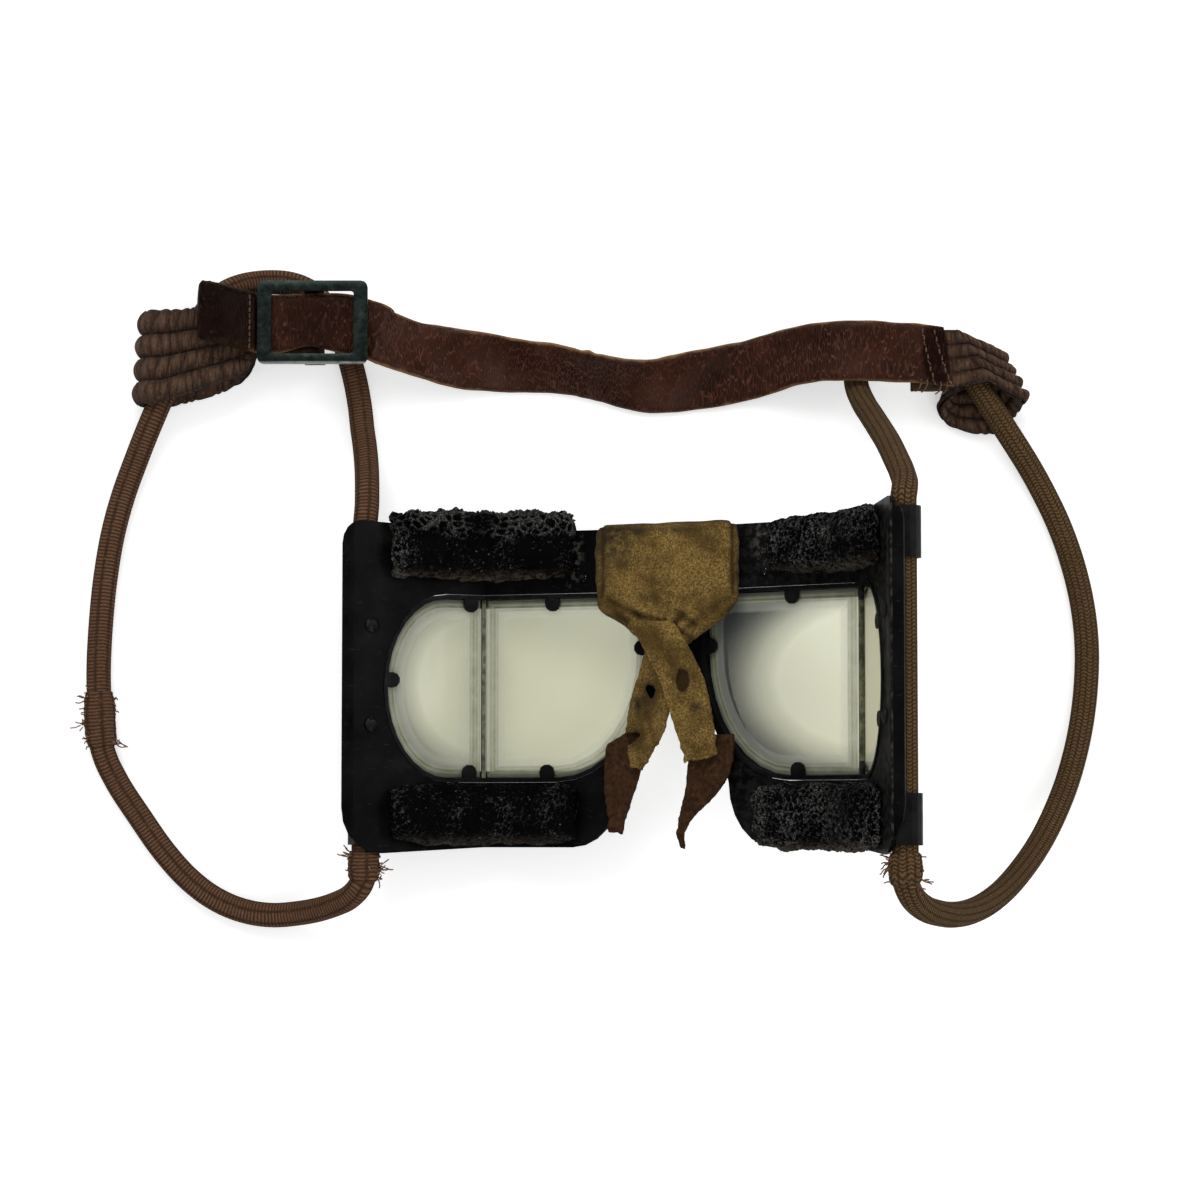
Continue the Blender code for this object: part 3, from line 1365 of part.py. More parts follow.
# Free courses of the elastic cords, chosen by hand
LEFT_ABOVE = (
    (-0.0520, 0.0125, 0.0171),
    (-0.0520, 0.0172, 0.0155),
    (-0.0523, 0.0225, 0.0120),
    (-0.0529, 0.0280, 0.0080),
    (-0.0539, 0.0341, 0.0048),
    (-0.0549, 0.0417, 0.0033),
    (-0.0564, 0.0487, 0.0031),
    (-0.0584, 0.0553, 0.0031),
    (-0.0610, 0.0612, 0.0031),
    (-0.0641, 0.0660, 0.0031),
    (-0.0679, 0.0692, 0.0031),
    (-0.0724, 0.0708, 0.0031),
    (-0.0773, 0.0711, 0.0034),
    (-0.0823, 0.0703, 0.0048),
    (-0.0868, 0.0686, 0.0064),
    (-0.0903, 0.0658, 0.0071),
    (-0.0931, 0.0620, 0.0071),
    (-0.0957, 0.0573, 0.0071),
    (-0.0984, 0.0522, 0.0071),
    (-0.1009, 0.0472, 0.0071),
    (-0.1031, 0.0421, 0.0071),
    (-0.1052, 0.0372, 0.0069),
    (-0.1078, 0.0315, 0.0052),
    (-0.1104, 0.0252, 0.0036),
    (-0.1130, 0.0180, 0.0031),
    (-0.1155, 0.0084, 0.0031),
    (-0.1174, -0.0040, 0.0031),
    (-0.1184, -0.0170, 0.0033),
    (-0.1185, -0.0290, 0.0042),
)
LEFT_OUTER_JOIN = (-0.1181, -0.0371, 0.0042)
LEFT_BELOW = (
    (-0.1175, -0.0443, 0.0042),
    (-0.1147, -0.0511, 0.0033),
    (-0.1102, -0.0582, 0.0031),
    (-0.1040, -0.0673, 0.0031),
    (-0.0966, -0.0759, 0.0031),
    (-0.0877, -0.0822, 0.0032),
    (-0.0780, -0.0850, 0.0042),
    (-0.0686, -0.0846, 0.0066),
    (-0.0602, -0.0826, 0.0112),
    (-0.0552, -0.0801, 0.0155),
    (-0.0528, -0.0772, 0.0177),
)
RIGHT_ABOVE = (
    (0.0735, 0.0130, 0.0790),
    (0.0726, 0.0190, 0.0705),
    (0.0716, 0.0253, 0.0565),
    (0.0704, 0.0320, 0.0370),
    (0.0694, 0.0373, 0.0220),
    (0.0686, 0.0411, 0.0125),
    (0.0679, 0.0450, 0.0071),
    (0.0679, 0.0494, 0.0043),
    (0.0694, 0.0537, 0.0034),
    (0.0729, 0.0566, 0.0031),
    (0.0778, 0.0576, 0.0031),
    (0.0830, 0.0575, 0.0036),
    (0.0875, 0.0568, 0.0041),
    (0.0908, 0.0549, 0.0049),
    (0.0933, 0.0520, 0.0061),
    (0.0953, 0.0488, 0.0069),
    (0.0973, 0.0455, 0.0071),
    (0.0995, 0.0420, 0.0071),
    (0.1020, 0.0380, 0.0071),
    (0.1046, 0.0339, 0.0071),
    (0.1075, 0.0296, 0.0060),
    (0.1106, 0.0250, 0.0044),
    (0.1140, 0.0191, 0.0033),
    (0.1175, 0.0118, 0.0031),
    (0.1207, 0.0030, 0.0031),
    (0.1230, -0.0060, 0.0031),
    (0.1244, -0.0165, 0.0031),
    (0.1243, -0.0280, 0.0031),
    (0.1228, -0.0395, 0.0033),
    (0.1194, -0.0518, 0.0052),
    (0.1137, -0.0637, 0.0110),
    (0.1054, -0.0743, 0.0230),
    (0.0966, -0.0811, 0.0380),
    (0.0880, -0.0838, 0.0535),
    (0.0806, -0.0830, 0.0675),
    (0.0756, -0.0805, 0.0764),
    (0.0735, -0.0775, 0.0806),
)
JOIN_Y = -0.0731


def straight_on(low, high, y):
    """A point on the clips' line, carried on to another y."""
    share = (y - low.y) / (high.y - low.y)
    return low.lerp(high, share)


def clip_run(low, high):
    """The cord's straight run through its clips and a little way past them."""
    past = (high - low).normalized() * CORD_RADIUS / 2
    return [low - past / 2, low, high, high + past]


def elastic_cords():
    """Two cords on the left and one on the right, with their sewn joins."""
    half_gap = Vector((0, GAP / 2, 0))
    half_binding = SPLICE_LENGTH / 2
    left_join = straight_on(LEFT_LOW, LEFT_HIGH, JOIN_Y)
    outer_join = Vector(LEFT_OUTER_JOIN)
    right_join = straight_on(RIGHT_LOW, RIGHT_HIGH, JOIN_Y)
    left = [left_join + half_gap] + clip_run(LEFT_LOW, LEFT_HIGH)
    cord("left_cord_long", left + list(LEFT_ABOVE) + [outer_join + half_gap], LEFT_BRAID)
    left_end = [straight_on(LEFT_LOW, LEFT_HIGH, JOIN_Y - half_binding), left_join - half_gap]
    short = [outer_join - half_gap] + list(LEFT_BELOW) + left_end
    cord("left_cord_short", short, LEFT_BRAID)
    right = [right_join + half_gap] + clip_run(RIGHT_LOW, RIGHT_HIGH)
    right_end = [straight_on(RIGHT_LOW, RIGHT_HIGH, JOIN_Y - half_binding), right_join - half_gap]
    cord("right_cord", right + list(RIGHT_ABOVE) + right_end, RIGHT_BRAID)
    splice("left_outer_cord_binding", LEFT_ABOVE[-1], LEFT_BELOW[0], outer_join, LEFT_BRAID)
    splice("left_lower_cord_binding", LEFT_BELOW[-1], LEFT_LOW, left_join, LEFT_BRAID)
    splice("right_cord_binding", RIGHT_ABOVE[-1], RIGHT_LOW, right_join, RIGHT_BRAID)


def build():
    face_plate()
    lens_cell("left_lens_cell", -1, LEFT_OUTER_TAB_SHARES)
    lens_cell("right_lens_cell", 1, RIGHT_OUTER_TAB_SHARES)
    for side_name, side in (("left", -1), ("right", 1)):
        pane(f"{side_name}_front_pane", side, True)
        pane(f"{side_name}_side_pane", side, False)
        joint_strip(f"{side_name}_pane_joint", side)
        cord_clip(f"{side_name}_upper_cord_clip", side, CLIP_Y)
        cord_clip(f"{side_name}_lower_cord_clip", side, -CLIP_Y)
        clip_rivets(side_name, side)
        plate_rivets(side_name, side)
    pads()
    nose_pad()
    flaps()
    strap()
    leather_loop()
    buckle()
    panels()
    elastic_cords()


build()
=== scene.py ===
import math
import random

import bmesh
import bpy
from mathutils import Matrix, Vector, noise
from mathutils.bvhtree import BVHTree
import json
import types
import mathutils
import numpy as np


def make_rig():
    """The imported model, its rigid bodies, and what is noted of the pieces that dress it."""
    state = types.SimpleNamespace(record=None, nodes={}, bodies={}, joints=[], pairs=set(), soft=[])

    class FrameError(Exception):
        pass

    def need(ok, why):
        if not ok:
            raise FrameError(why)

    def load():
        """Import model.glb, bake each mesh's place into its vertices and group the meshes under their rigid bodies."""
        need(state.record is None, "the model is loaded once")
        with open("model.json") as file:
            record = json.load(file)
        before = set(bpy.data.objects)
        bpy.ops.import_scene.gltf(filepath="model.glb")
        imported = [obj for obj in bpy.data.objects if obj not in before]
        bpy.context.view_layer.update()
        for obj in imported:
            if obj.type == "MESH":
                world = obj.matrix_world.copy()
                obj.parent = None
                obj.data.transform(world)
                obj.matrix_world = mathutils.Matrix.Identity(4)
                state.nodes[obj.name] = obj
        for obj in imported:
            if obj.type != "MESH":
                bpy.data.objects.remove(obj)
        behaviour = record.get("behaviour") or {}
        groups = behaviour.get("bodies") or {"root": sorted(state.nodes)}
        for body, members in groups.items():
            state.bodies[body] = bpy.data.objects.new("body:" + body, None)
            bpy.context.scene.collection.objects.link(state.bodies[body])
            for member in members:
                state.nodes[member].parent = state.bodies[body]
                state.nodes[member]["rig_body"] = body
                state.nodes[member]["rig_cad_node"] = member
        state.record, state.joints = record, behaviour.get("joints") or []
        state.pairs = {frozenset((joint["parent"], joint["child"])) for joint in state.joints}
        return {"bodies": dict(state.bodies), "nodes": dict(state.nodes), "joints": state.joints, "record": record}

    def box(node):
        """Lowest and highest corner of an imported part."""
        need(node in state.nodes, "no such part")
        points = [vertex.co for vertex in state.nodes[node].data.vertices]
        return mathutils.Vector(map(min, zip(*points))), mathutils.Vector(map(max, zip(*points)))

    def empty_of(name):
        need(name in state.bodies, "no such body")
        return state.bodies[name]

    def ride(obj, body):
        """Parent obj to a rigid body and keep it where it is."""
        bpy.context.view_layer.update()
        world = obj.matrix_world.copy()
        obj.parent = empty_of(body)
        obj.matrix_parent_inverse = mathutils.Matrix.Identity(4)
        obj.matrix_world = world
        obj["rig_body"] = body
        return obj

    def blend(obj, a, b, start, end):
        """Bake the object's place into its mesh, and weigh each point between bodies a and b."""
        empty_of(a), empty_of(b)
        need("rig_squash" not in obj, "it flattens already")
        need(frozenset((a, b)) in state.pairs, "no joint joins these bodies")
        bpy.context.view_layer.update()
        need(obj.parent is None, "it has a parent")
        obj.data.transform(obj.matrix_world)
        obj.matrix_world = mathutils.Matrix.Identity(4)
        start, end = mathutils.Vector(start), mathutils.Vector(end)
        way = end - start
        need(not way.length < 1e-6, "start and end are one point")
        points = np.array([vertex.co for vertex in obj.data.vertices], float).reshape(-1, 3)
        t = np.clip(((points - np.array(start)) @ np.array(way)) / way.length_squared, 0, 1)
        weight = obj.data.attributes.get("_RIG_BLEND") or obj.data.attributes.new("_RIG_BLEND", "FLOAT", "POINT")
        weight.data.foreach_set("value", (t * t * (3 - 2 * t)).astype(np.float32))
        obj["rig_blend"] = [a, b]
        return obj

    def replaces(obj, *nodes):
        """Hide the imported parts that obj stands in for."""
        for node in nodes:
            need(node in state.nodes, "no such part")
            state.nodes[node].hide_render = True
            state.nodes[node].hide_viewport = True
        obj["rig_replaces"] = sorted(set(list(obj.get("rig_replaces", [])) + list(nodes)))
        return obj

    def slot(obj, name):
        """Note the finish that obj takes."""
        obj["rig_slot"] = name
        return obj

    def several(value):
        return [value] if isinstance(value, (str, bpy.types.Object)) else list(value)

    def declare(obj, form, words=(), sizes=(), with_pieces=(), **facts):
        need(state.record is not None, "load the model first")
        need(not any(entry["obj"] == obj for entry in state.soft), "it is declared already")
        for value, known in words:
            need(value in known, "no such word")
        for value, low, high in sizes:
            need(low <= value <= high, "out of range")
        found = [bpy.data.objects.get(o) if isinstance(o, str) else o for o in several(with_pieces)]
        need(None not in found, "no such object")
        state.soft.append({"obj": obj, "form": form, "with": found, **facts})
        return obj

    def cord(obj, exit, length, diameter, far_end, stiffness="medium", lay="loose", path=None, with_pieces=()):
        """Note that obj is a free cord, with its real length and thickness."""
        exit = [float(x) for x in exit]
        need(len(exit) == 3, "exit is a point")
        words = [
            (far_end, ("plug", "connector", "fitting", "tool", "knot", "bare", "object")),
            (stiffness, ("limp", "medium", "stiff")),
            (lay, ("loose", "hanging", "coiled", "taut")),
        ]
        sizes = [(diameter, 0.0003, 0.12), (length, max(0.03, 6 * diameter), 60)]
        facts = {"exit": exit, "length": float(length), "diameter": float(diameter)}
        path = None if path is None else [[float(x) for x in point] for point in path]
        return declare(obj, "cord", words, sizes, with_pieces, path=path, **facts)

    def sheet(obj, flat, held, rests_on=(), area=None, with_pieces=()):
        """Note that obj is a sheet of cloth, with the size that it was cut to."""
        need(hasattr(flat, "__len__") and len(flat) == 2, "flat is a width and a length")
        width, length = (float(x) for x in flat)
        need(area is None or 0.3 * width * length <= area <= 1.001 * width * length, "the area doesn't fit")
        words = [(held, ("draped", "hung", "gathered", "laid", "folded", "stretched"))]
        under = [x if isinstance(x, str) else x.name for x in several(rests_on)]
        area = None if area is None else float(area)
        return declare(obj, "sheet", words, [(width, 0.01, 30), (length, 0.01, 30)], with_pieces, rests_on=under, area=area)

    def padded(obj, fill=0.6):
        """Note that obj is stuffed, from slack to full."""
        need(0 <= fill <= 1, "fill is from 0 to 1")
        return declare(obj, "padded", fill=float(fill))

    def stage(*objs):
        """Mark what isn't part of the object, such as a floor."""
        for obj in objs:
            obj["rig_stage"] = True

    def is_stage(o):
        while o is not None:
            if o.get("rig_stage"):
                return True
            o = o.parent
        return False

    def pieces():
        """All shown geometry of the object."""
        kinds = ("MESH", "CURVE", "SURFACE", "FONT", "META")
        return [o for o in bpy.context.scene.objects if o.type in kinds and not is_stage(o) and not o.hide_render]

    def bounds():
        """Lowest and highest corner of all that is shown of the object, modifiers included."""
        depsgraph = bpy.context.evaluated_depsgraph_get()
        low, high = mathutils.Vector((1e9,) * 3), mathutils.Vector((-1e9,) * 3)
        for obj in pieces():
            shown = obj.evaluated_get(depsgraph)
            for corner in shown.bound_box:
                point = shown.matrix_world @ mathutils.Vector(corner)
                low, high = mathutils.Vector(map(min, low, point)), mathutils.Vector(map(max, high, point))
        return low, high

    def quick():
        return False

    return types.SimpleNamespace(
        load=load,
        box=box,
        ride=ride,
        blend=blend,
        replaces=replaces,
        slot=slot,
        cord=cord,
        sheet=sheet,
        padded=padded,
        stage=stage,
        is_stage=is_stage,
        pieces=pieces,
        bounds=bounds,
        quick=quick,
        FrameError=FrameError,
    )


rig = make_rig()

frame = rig.load()
solids = frame["nodes"]
solid_low, solid_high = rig.bounds()


# The camera stands almost over the goggles, which lie on a pale table with their face side up.
# It is a long lens tipped a few degrees, so the brow edge is at the top of the picture.
view_centre = Vector((0.0047, -0.0076, 0))
view_tilt = math.radians(3.8)
view_distance = 0.88
camera_data = bpy.data.cameras.new("table_camera")
camera_data.lens = 106.75
camera_data.sensor_width = 36
camera_data.clip_start = 0.05
camera_data.clip_end = 20
camera = bpy.data.objects.new("table_camera", camera_data)
bpy.context.scene.collection.objects.link(camera)
camera.location = view_centre + view_distance * Vector((0, -math.sin(view_tilt), math.cos(view_tilt)))
camera.rotation_euler = (view_tilt, 0, 0)
bpy.context.scene.camera = camera
bpy.context.scene.view_settings.view_transform = "Standard"


# The table is plain white and keeps the goggles' soft shadow.
# It glows a little to the camera alone, so that it reads as white paper.
def add(owner, kind, inputs=None, **settings):
    """A node of a finish; an input may be a number, a colour or another node's output."""
    node = owner.node_tree.nodes.new(kind)
    for name, value in settings.items():
        setattr(node, name, value)
    for name, value in (inputs or {}).items():
        socket = node.inputs[name]
        if isinstance(value, bpy.types.NodeSocket):
            owner.node_tree.links.new(value, socket)
        else:
            socket.default_value = value
    return node


def calculated(owner, how, first, second=0.0, third=0.0):
    return add(owner, "ShaderNodeMath", {0: first, 1: second, 2: third}, operation=how).outputs[0]


def finish(name, colour, roughness, metal=0.0, shine=0.5):
    material = bpy.data.materials.new(name)
    material.use_nodes = True
    shader = material.node_tree.nodes["Principled BSDF"]
    shader.inputs["Base Color"].default_value = (*colour, 1)
    shader.inputs["Roughness"].default_value = roughness
    shader.inputs["Metallic"].default_value = metal
    shader.inputs["Specular IOR Level"].default_value = shine
    return material


def wire(material, name, output):
    """Feeds one input of the finish's main shader."""
    shader = material.node_tree.nodes["Principled BSDF"]
    material.node_tree.links.new(output, shader.inputs[name])


def piece_from(name, work, material, smooth=False):
    """Turns a bmesh into a piece with one finish."""
    mesh = bpy.data.meshes.new(name)
    work.to_mesh(mesh)
    work.free()
    if smooth:
        for face in mesh.polygons:
            face.use_smooth = True
    mesh.materials.clear()
    mesh.materials.append(material)
    piece = bpy.data.objects.new(name, mesh)
    bpy.context.scene.collection.objects.link(piece)
    return piece


paper = finish("table_white", (0.88, 0.88, 0.88), 0.9, shine=0.1)
seen = add(paper, "ShaderNodeLightPath").outputs["Is Camera Ray"]
glow = add(paper, "ShaderNodeEmission", {"Strength": calculated(paper, "MULTIPLY", seen, 0.46)})
plain = paper.node_tree.nodes["Principled BSDF"]
both = add(paper, "ShaderNodeAddShader", {0: plain.outputs[0], 1: glow.outputs[0]})
paper.node_tree.links.new(both.outputs[0], paper.node_tree.nodes["Material Output"].inputs["Surface"])
work = bmesh.new()
bmesh.ops.create_grid(work, x_segments=1, y_segments=1, size=2.5)
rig.stage(piece_from("table", work, paper))

world = bpy.data.worlds.new("studio")
world.use_nodes = True
bpy.context.scene.world = world
backdrop = world.node_tree.nodes["Background"]
backdrop.inputs["Color"].default_value = (1, 1, 1, 1)
rays = add(world, "ShaderNodeLightPath").outputs
straight = calculated(world, "MAXIMUM", rays["Is Camera Ray"], rays["Is Transmission Ray"])
level = add(world, "ShaderNodeMapRange", {"Value": straight, "To Min": 0.50, "To Max": 1.0}).outputs[0]
mirrored = {"Value": rays["Is Glossy Ray"], "To Min": 1.0, "To Max": 0.22}
mirrored = add(world, "ShaderNodeMapRange", mirrored).outputs[0]
world.node_tree.links.new(calculated(world, "MULTIPLY", level, mirrored), backdrop.inputs["Strength"])

for name, place, width, power in (
    ("brow_softbox", (-0.25, 0.95, 1.1), 0.8, 9.0),
    ("cheek_softbox", (0.35, -0.9, 1.2), 0.9, 5.0),
    ("side_softbox", (1.1, 0.3, 0.9), 0.6, 3.0),
):
    light = bpy.data.lights.new(name, "AREA")
    light.shape = "SQUARE"
    light.size = width
    light.energy = power
    softbox = bpy.data.objects.new(name, light)
    bpy.context.scene.collection.objects.link(softbox)
    softbox.location = place
    softbox.rotation_euler = (-Vector(place)).to_track_quat("-Z", "Y").to_euler()


# The face plate is one sheet of brass, bent to the face and painted satin black.
# Handling has worn the paint to the metal along its turned lips and corners, and the pale bands along the lips are
# partly painted highlights.
def place_of(material):
    return add(material, "ShaderNodeTexCoord").outputs["Object"]


def cloudy(material, scale, detail=4.0, roughness=0.55, vector=None):
    vector = vector or place_of(material)
    values = {"Vector": vector, "Scale": scale, "Detail": detail, "Roughness": roughness}
    return add(material, "ShaderNodeTexNoise", values).outputs["Fac"]


def stepped(material, value, stops):
    """A colour ramp; a stop is a place and a colour or a grey."""
    ramp = add(material, "ShaderNodeValToRGB", {"Fac": value})
    points = ramp.color_ramp.elements
    while len(points) < len(stops):
        points.new(0.5)
    for point, (at, colour) in zip(points, stops):
        point.position = at
        point.color = (colour, colour, colour, 1) if isinstance(colour, float) else (*colour, 1)
    return ramp.outputs["Color"]


def patches(material, scale, detail, *stops):
    """Cloudy patches of a scale, as a mask or as colours."""
    return stepped(material, cloudy(material, scale, detail), stops)


def layered(material, colour, *layers):
    """Lays colours over one another; a layer is its mask and its colour."""
    for mask, above in layers:
        values = {"Fac": mask, "Color1": colour, "Color2": above}
        for key in ("Color1", "Color2"):
            if isinstance(values[key], tuple):
                values[key] = (*values[key], 1)
        colour = add(material, "ShaderNodeMixRGB", values).outputs[0]
    return colour


def relief(material, height, depth, strength=1.0, after=None):
    values = {"Height": height, "Distance": depth, "Strength": strength}
    if after:
        values["Normal"] = after
    bumped = add(material, "ShaderNodeBump", values).outputs[0]
    wire(material, "Normal", bumped)
    return bumped


def times(material, first, second):
    return calculated(material, "MULTIPLY", first, second)


def near_spot(material, centre, reach, soft):
    """A mask that is 1 inside an ellipsoid at a place on the piece."""
    scale = tuple(1 / size for size in reach)
    shift = tuple(-place / size for place, size in zip(centre, reach))
    placing = {"Vector": place_of(material), "Scale": scale, "Location": shift}
    moved = add(material, "ShaderNodeMapping", placing).outputs[0]
    far = add(material, "ShaderNodeVectorMath", {0: moved}, operation="LENGTH").outputs["Value"]
    fading = {"Value": far, "From Min": 1.0, "From Max": 1.0 - soft}
    return add(material, "ShaderNodeMapRange", fading).outputs[0]


def spots(material, *places):
    """Several spots as one mask; each is a centre, a reach, a softness and a strength."""
    total = 0.0
    for centre, reach, soft, strength in places:
        spot = times(material, near_spot(material, centre, reach, soft), strength)
        both = {0: total, 1: spot}
        total = add(material, "ShaderNodeMath", both, operation="ADD", use_clamp=True).outputs[0]
    return total


plate_black = finish("plate_black_paint", (0.004, 0.004, 0.005), 0.42, shine=0.07)
black = patches(plate_black, 90, 6, (0.35, (0.0014, 0.0014, 0.0017)), (0.7, (0.0055, 0.0055, 0.0062)))
drawn_out = {"Vector": place_of(plate_black), "Scale": (1, 14, 4), "Rotation": (0, 0, 0.5)}
drawn_out = add(plate_black, "ShaderNodeMapping", drawn_out).outputs[0]
scratches = cloudy(plate_black, 220, 3, vector=drawn_out)
scratches = stepped(plate_black, scratches, ((0.66, 0.0), (0.70, 0.30)))
old_glue = spots(
    plate_black,
    ((-0.0020, 0.0024, 0.010), (0.0035, 0.010, 0.02), 0.8, 1.0),
    ((0.044, 0.0045, 0.035), (0.0045, 0.008, 0.02), 0.8, 1.0),
)
old_glue = times(plate_black, old_glue, patches(plate_black, 700, 5, (0.5, 0.0), (0.58, 0.6)))
dust = spots(
    plate_black,
    ((-0.030, 0.0065, 0.010), (0.030, 0.0045, 0.02), 0.9, 1.0),
    ((-0.030, -0.0480, 0.010), (0.030, 0.0040, 0.02), 0.9, 1.0),
)
dust = times(plate_black, dust, patches(plate_black, 240, 6, (0.40, 0.0), (0.68, 0.8)))
# Painted highlight: faces turned to the left are painted lighter along the lips, broken by worn patches.
facing = add(plate_black, "ShaderNodeNewGeometry").outputs["Normal"]
lip_highlight = {0: facing, 1: (-0.80, -0.35, 0.45)}
lip_highlight = add(plate_black, "ShaderNodeVectorMath", lip_highlight, operation="DOT_PRODUCT").outputs["Value"]
lip_highlight = stepped(plate_black, lip_highlight, ((0.80, 0.0), (0.93, 0.45)))
lip_highlight = times(plate_black, lip_highlight, patches(plate_black, 620, 6, (0.46, 0.0), (0.60, 1.0)))
# A thin painted highlight along the right wing's rim, partly worn paint.
worn_rim_highlight = near_spot(plate_black, (0.0684, -0.0250, 0.0865), (0.0009, 0.052, 0.0045), 0.9)
worn_rim_highlight = times(plate_black, worn_rim_highlight, patches(plate_black, 500, 5, (0.38, 0.2), (0.60, 1.0)))
wear = near_spot(plate_black, (0.0735, 0.0115, 0.0885), (0.004, 0.006, 0.006), 0.9)
wear = times(plate_black, wear, patches(plate_black, 900, 6, (0.42, 0.0), (0.6, 1.0)))
black = layered(
    plate_black,
    black,
    (scratches, (0.05, 0.048, 0.045)),
    (old_glue, (0.13, 0.12, 0.095)),
    (dust, (0.026, 0.020, 0.014)),
    (lip_highlight, (0.10, 0.095, 0.085)),
    (worn_rim_highlight, (0.16, 0.155, 0.14)),
    (wear, (0.30, 0.16, 0.075)),
)
wire(plate_black, "Base Color", black)
wire(plate_black, "Metallic", wear)
wire(plate_black, "Roughness", patches(plate_black, 140, 6, (0.3, 0.32), (0.75, 0.55)))
relief(plate_black, cloudy(plate_black, 1200, 3), 0.00003, 0.5)


def dressed(name, material):
    """Gives a carried-over solid its finish."""
    data = solids[name].data
    data.materials.clear()
    data.materials.append(material)


dressed("face_plate", plate_black)


# The lens cells and the cord clips are thin blackened sheet, folded over the glass and cord.
# Their edges show a little bare steel.
def merged(solid):
    """A solid's mesh as a bmesh, its loose triangles joined."""
    work = bmesh.new()
    work.from_mesh(solids[solid].data)
    bmesh.ops.remove_doubles(work, verts=work.verts, dist=0.00001)
    return work


cell_black = finish("cell_blackened_steel", (0.004, 0.004, 0.005), 0.40, 0.1, 0.12)
shade = patches(cell_black, 260, 6, (0.35, (0.0025, 0.0025, 0.003)), (0.75, (0.011, 0.011, 0.012)))
rubbed = patches(cell_black, 900, 5, (0.66, 0.0), (0.76, 0.5))
wire(cell_black, "Base Color", layered(cell_black, shade, (rubbed, (0.10, 0.095, 0.085))))
wire(cell_black, "Roughness", patches(cell_black, 300, 5, (0.3, 0.28), (0.75, 0.55)))
relief(cell_black, cloudy(cell_black, 900, 4), 0.00004, 0.6)
cell_seat = 0.00024
for side in ("left", "right"):
    for name in ("upper_cord_clip", "lower_cord_clip"):
        dressed(f"{side}_{name}", cell_black)
    work = merged(f"{side}_lens_cell")
    work.normal_update()
    for vert in work.verts:
        vert.co += vert.normal * cell_seat
    piece = piece_from(f"{side}_crimped_cell", work, cell_black)
    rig.ride(piece, "frame_body")
    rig.replaces(piece, f"{side}_lens_cell")
    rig.slot(piece, "black_steel")


# Rivets hold the clips to the plate, the nose pad to the bridge and the wings to the front.
# They are brass, with domed heads that were painted over with the plate.
rivet_black = finish("rivet_painted_brass", (0.006, 0.006, 0.006), 0.40, 0.2, 0.2)
rubbed = patches(rivet_black, 1500, 4, (0.56, 0.0), (0.68, 0.35))
wire(rivet_black, "Base Color", layered(rivet_black, (0.004, 0.004, 0.005), (rubbed, (0.09, 0.075, 0.055))))
relief(rivet_black, cloudy(rivet_black, 2500, 3), 0.00005, 0.6)
clip_rivets = [f"{end}_clip_rivet_{number}" for end in ("upper", "lower") for number in (1, 2)]
for side in ("left", "right"):
    for name in (*clip_rivets, "wing_rivet_upper", "wing_rivet_lower", "bridge_rivet"):
        dressed(f"{side}_{name}", rivet_black)


# The panes are laminated safety glass, pale cream from age, with ground yellow-green edges.
# The wearer's side of each pane is ground to a wide, dull bevel, and its two sheets and the layer
# between them show at the edge. The lens cell's folded lip holds the pane all round.
bevel_width = 0.0040
bevel_drop = 0.0006
clear_milk = 0.03
aslant_milk = {"right_side_pane": 0.92}
rim_shade = {"left_side_pane": 0.85, "right_front_pane": 0.97}


def mark(piece, name, values):
    """Keeps one number for each point of a piece, for its finish to read."""
    kept = piece.data.attributes.get(name) or piece.data.attributes.new(name, "FLOAT", "POINT")
    kept.data.foreach_set("value", values)


def marked(material, name):
    return add(material, "ShaderNodeAttribute", attribute_name=name).outputs["Fac"]


def mixed(material, amount, first, second):
    """Mixes two shaders by an amount."""
    return add(material, "ShaderNodeMixShader", {0: amount, 1: first, 2: second}).outputs[0]


def coloured(material, kind, colour, **rest):
    colour = (*colour, 1) if isinstance(colour, tuple) else colour
    return add(material, f"ShaderNodeBsdf{kind}", {"Color": colour, **rest}).outputs[0]


def ground_glass(material, colour, roughness):
    values = {"Base Color": colour, "Roughness": roughness}
    return add(material, "ShaderNodeBsdfPrincipled", values).outputs[0]


def clear_face(material, milk, lit, shade):
    """The polished face, its tint and specks, its milk, and the shade that the plate's rim throws."""
    veil = patches(material, 60, 5, (0.35, 0.0), (0.75, 0.6))
    specks = times(material, patches(material, 1500, 2, (0.74, 0.0), (0.77, 1.0)), 0.5)
    tint = layered(
        material, (0.826, 0.831, 0.748), (veil, (0.800, 0.797, 0.680)), (specks, (0.30, 0.28, 0.20))
    )
    mirror = add(material, "ShaderNodeFresnel", {"IOR": 1.25}).outputs[0]
    gloss = coloured(material, "Glossy", (1, 1, 1), Roughness=0.06)
    face = mixed(material, mirror, coloured(material, "Transparent", tint), gloss)
    face = mixed(material, milk, face, coloured(material, "Diffuse", (0.88, 0.86, 0.61)))
    stops = ((0.0, shade), (0.30, shade * 0.62), (0.65, shade * 0.22), (1.0, 0.0))
    # Painted shade: outside the lit oval the pane is mixed towards dark grey.
    pane_painted_shade = stepped(material, near_spot(material, *lit, 0.40), stops)
    return mixed(material, pane_painted_shade, face, coloured(material, "Diffuse", (0.075, 0.080, 0.078)))


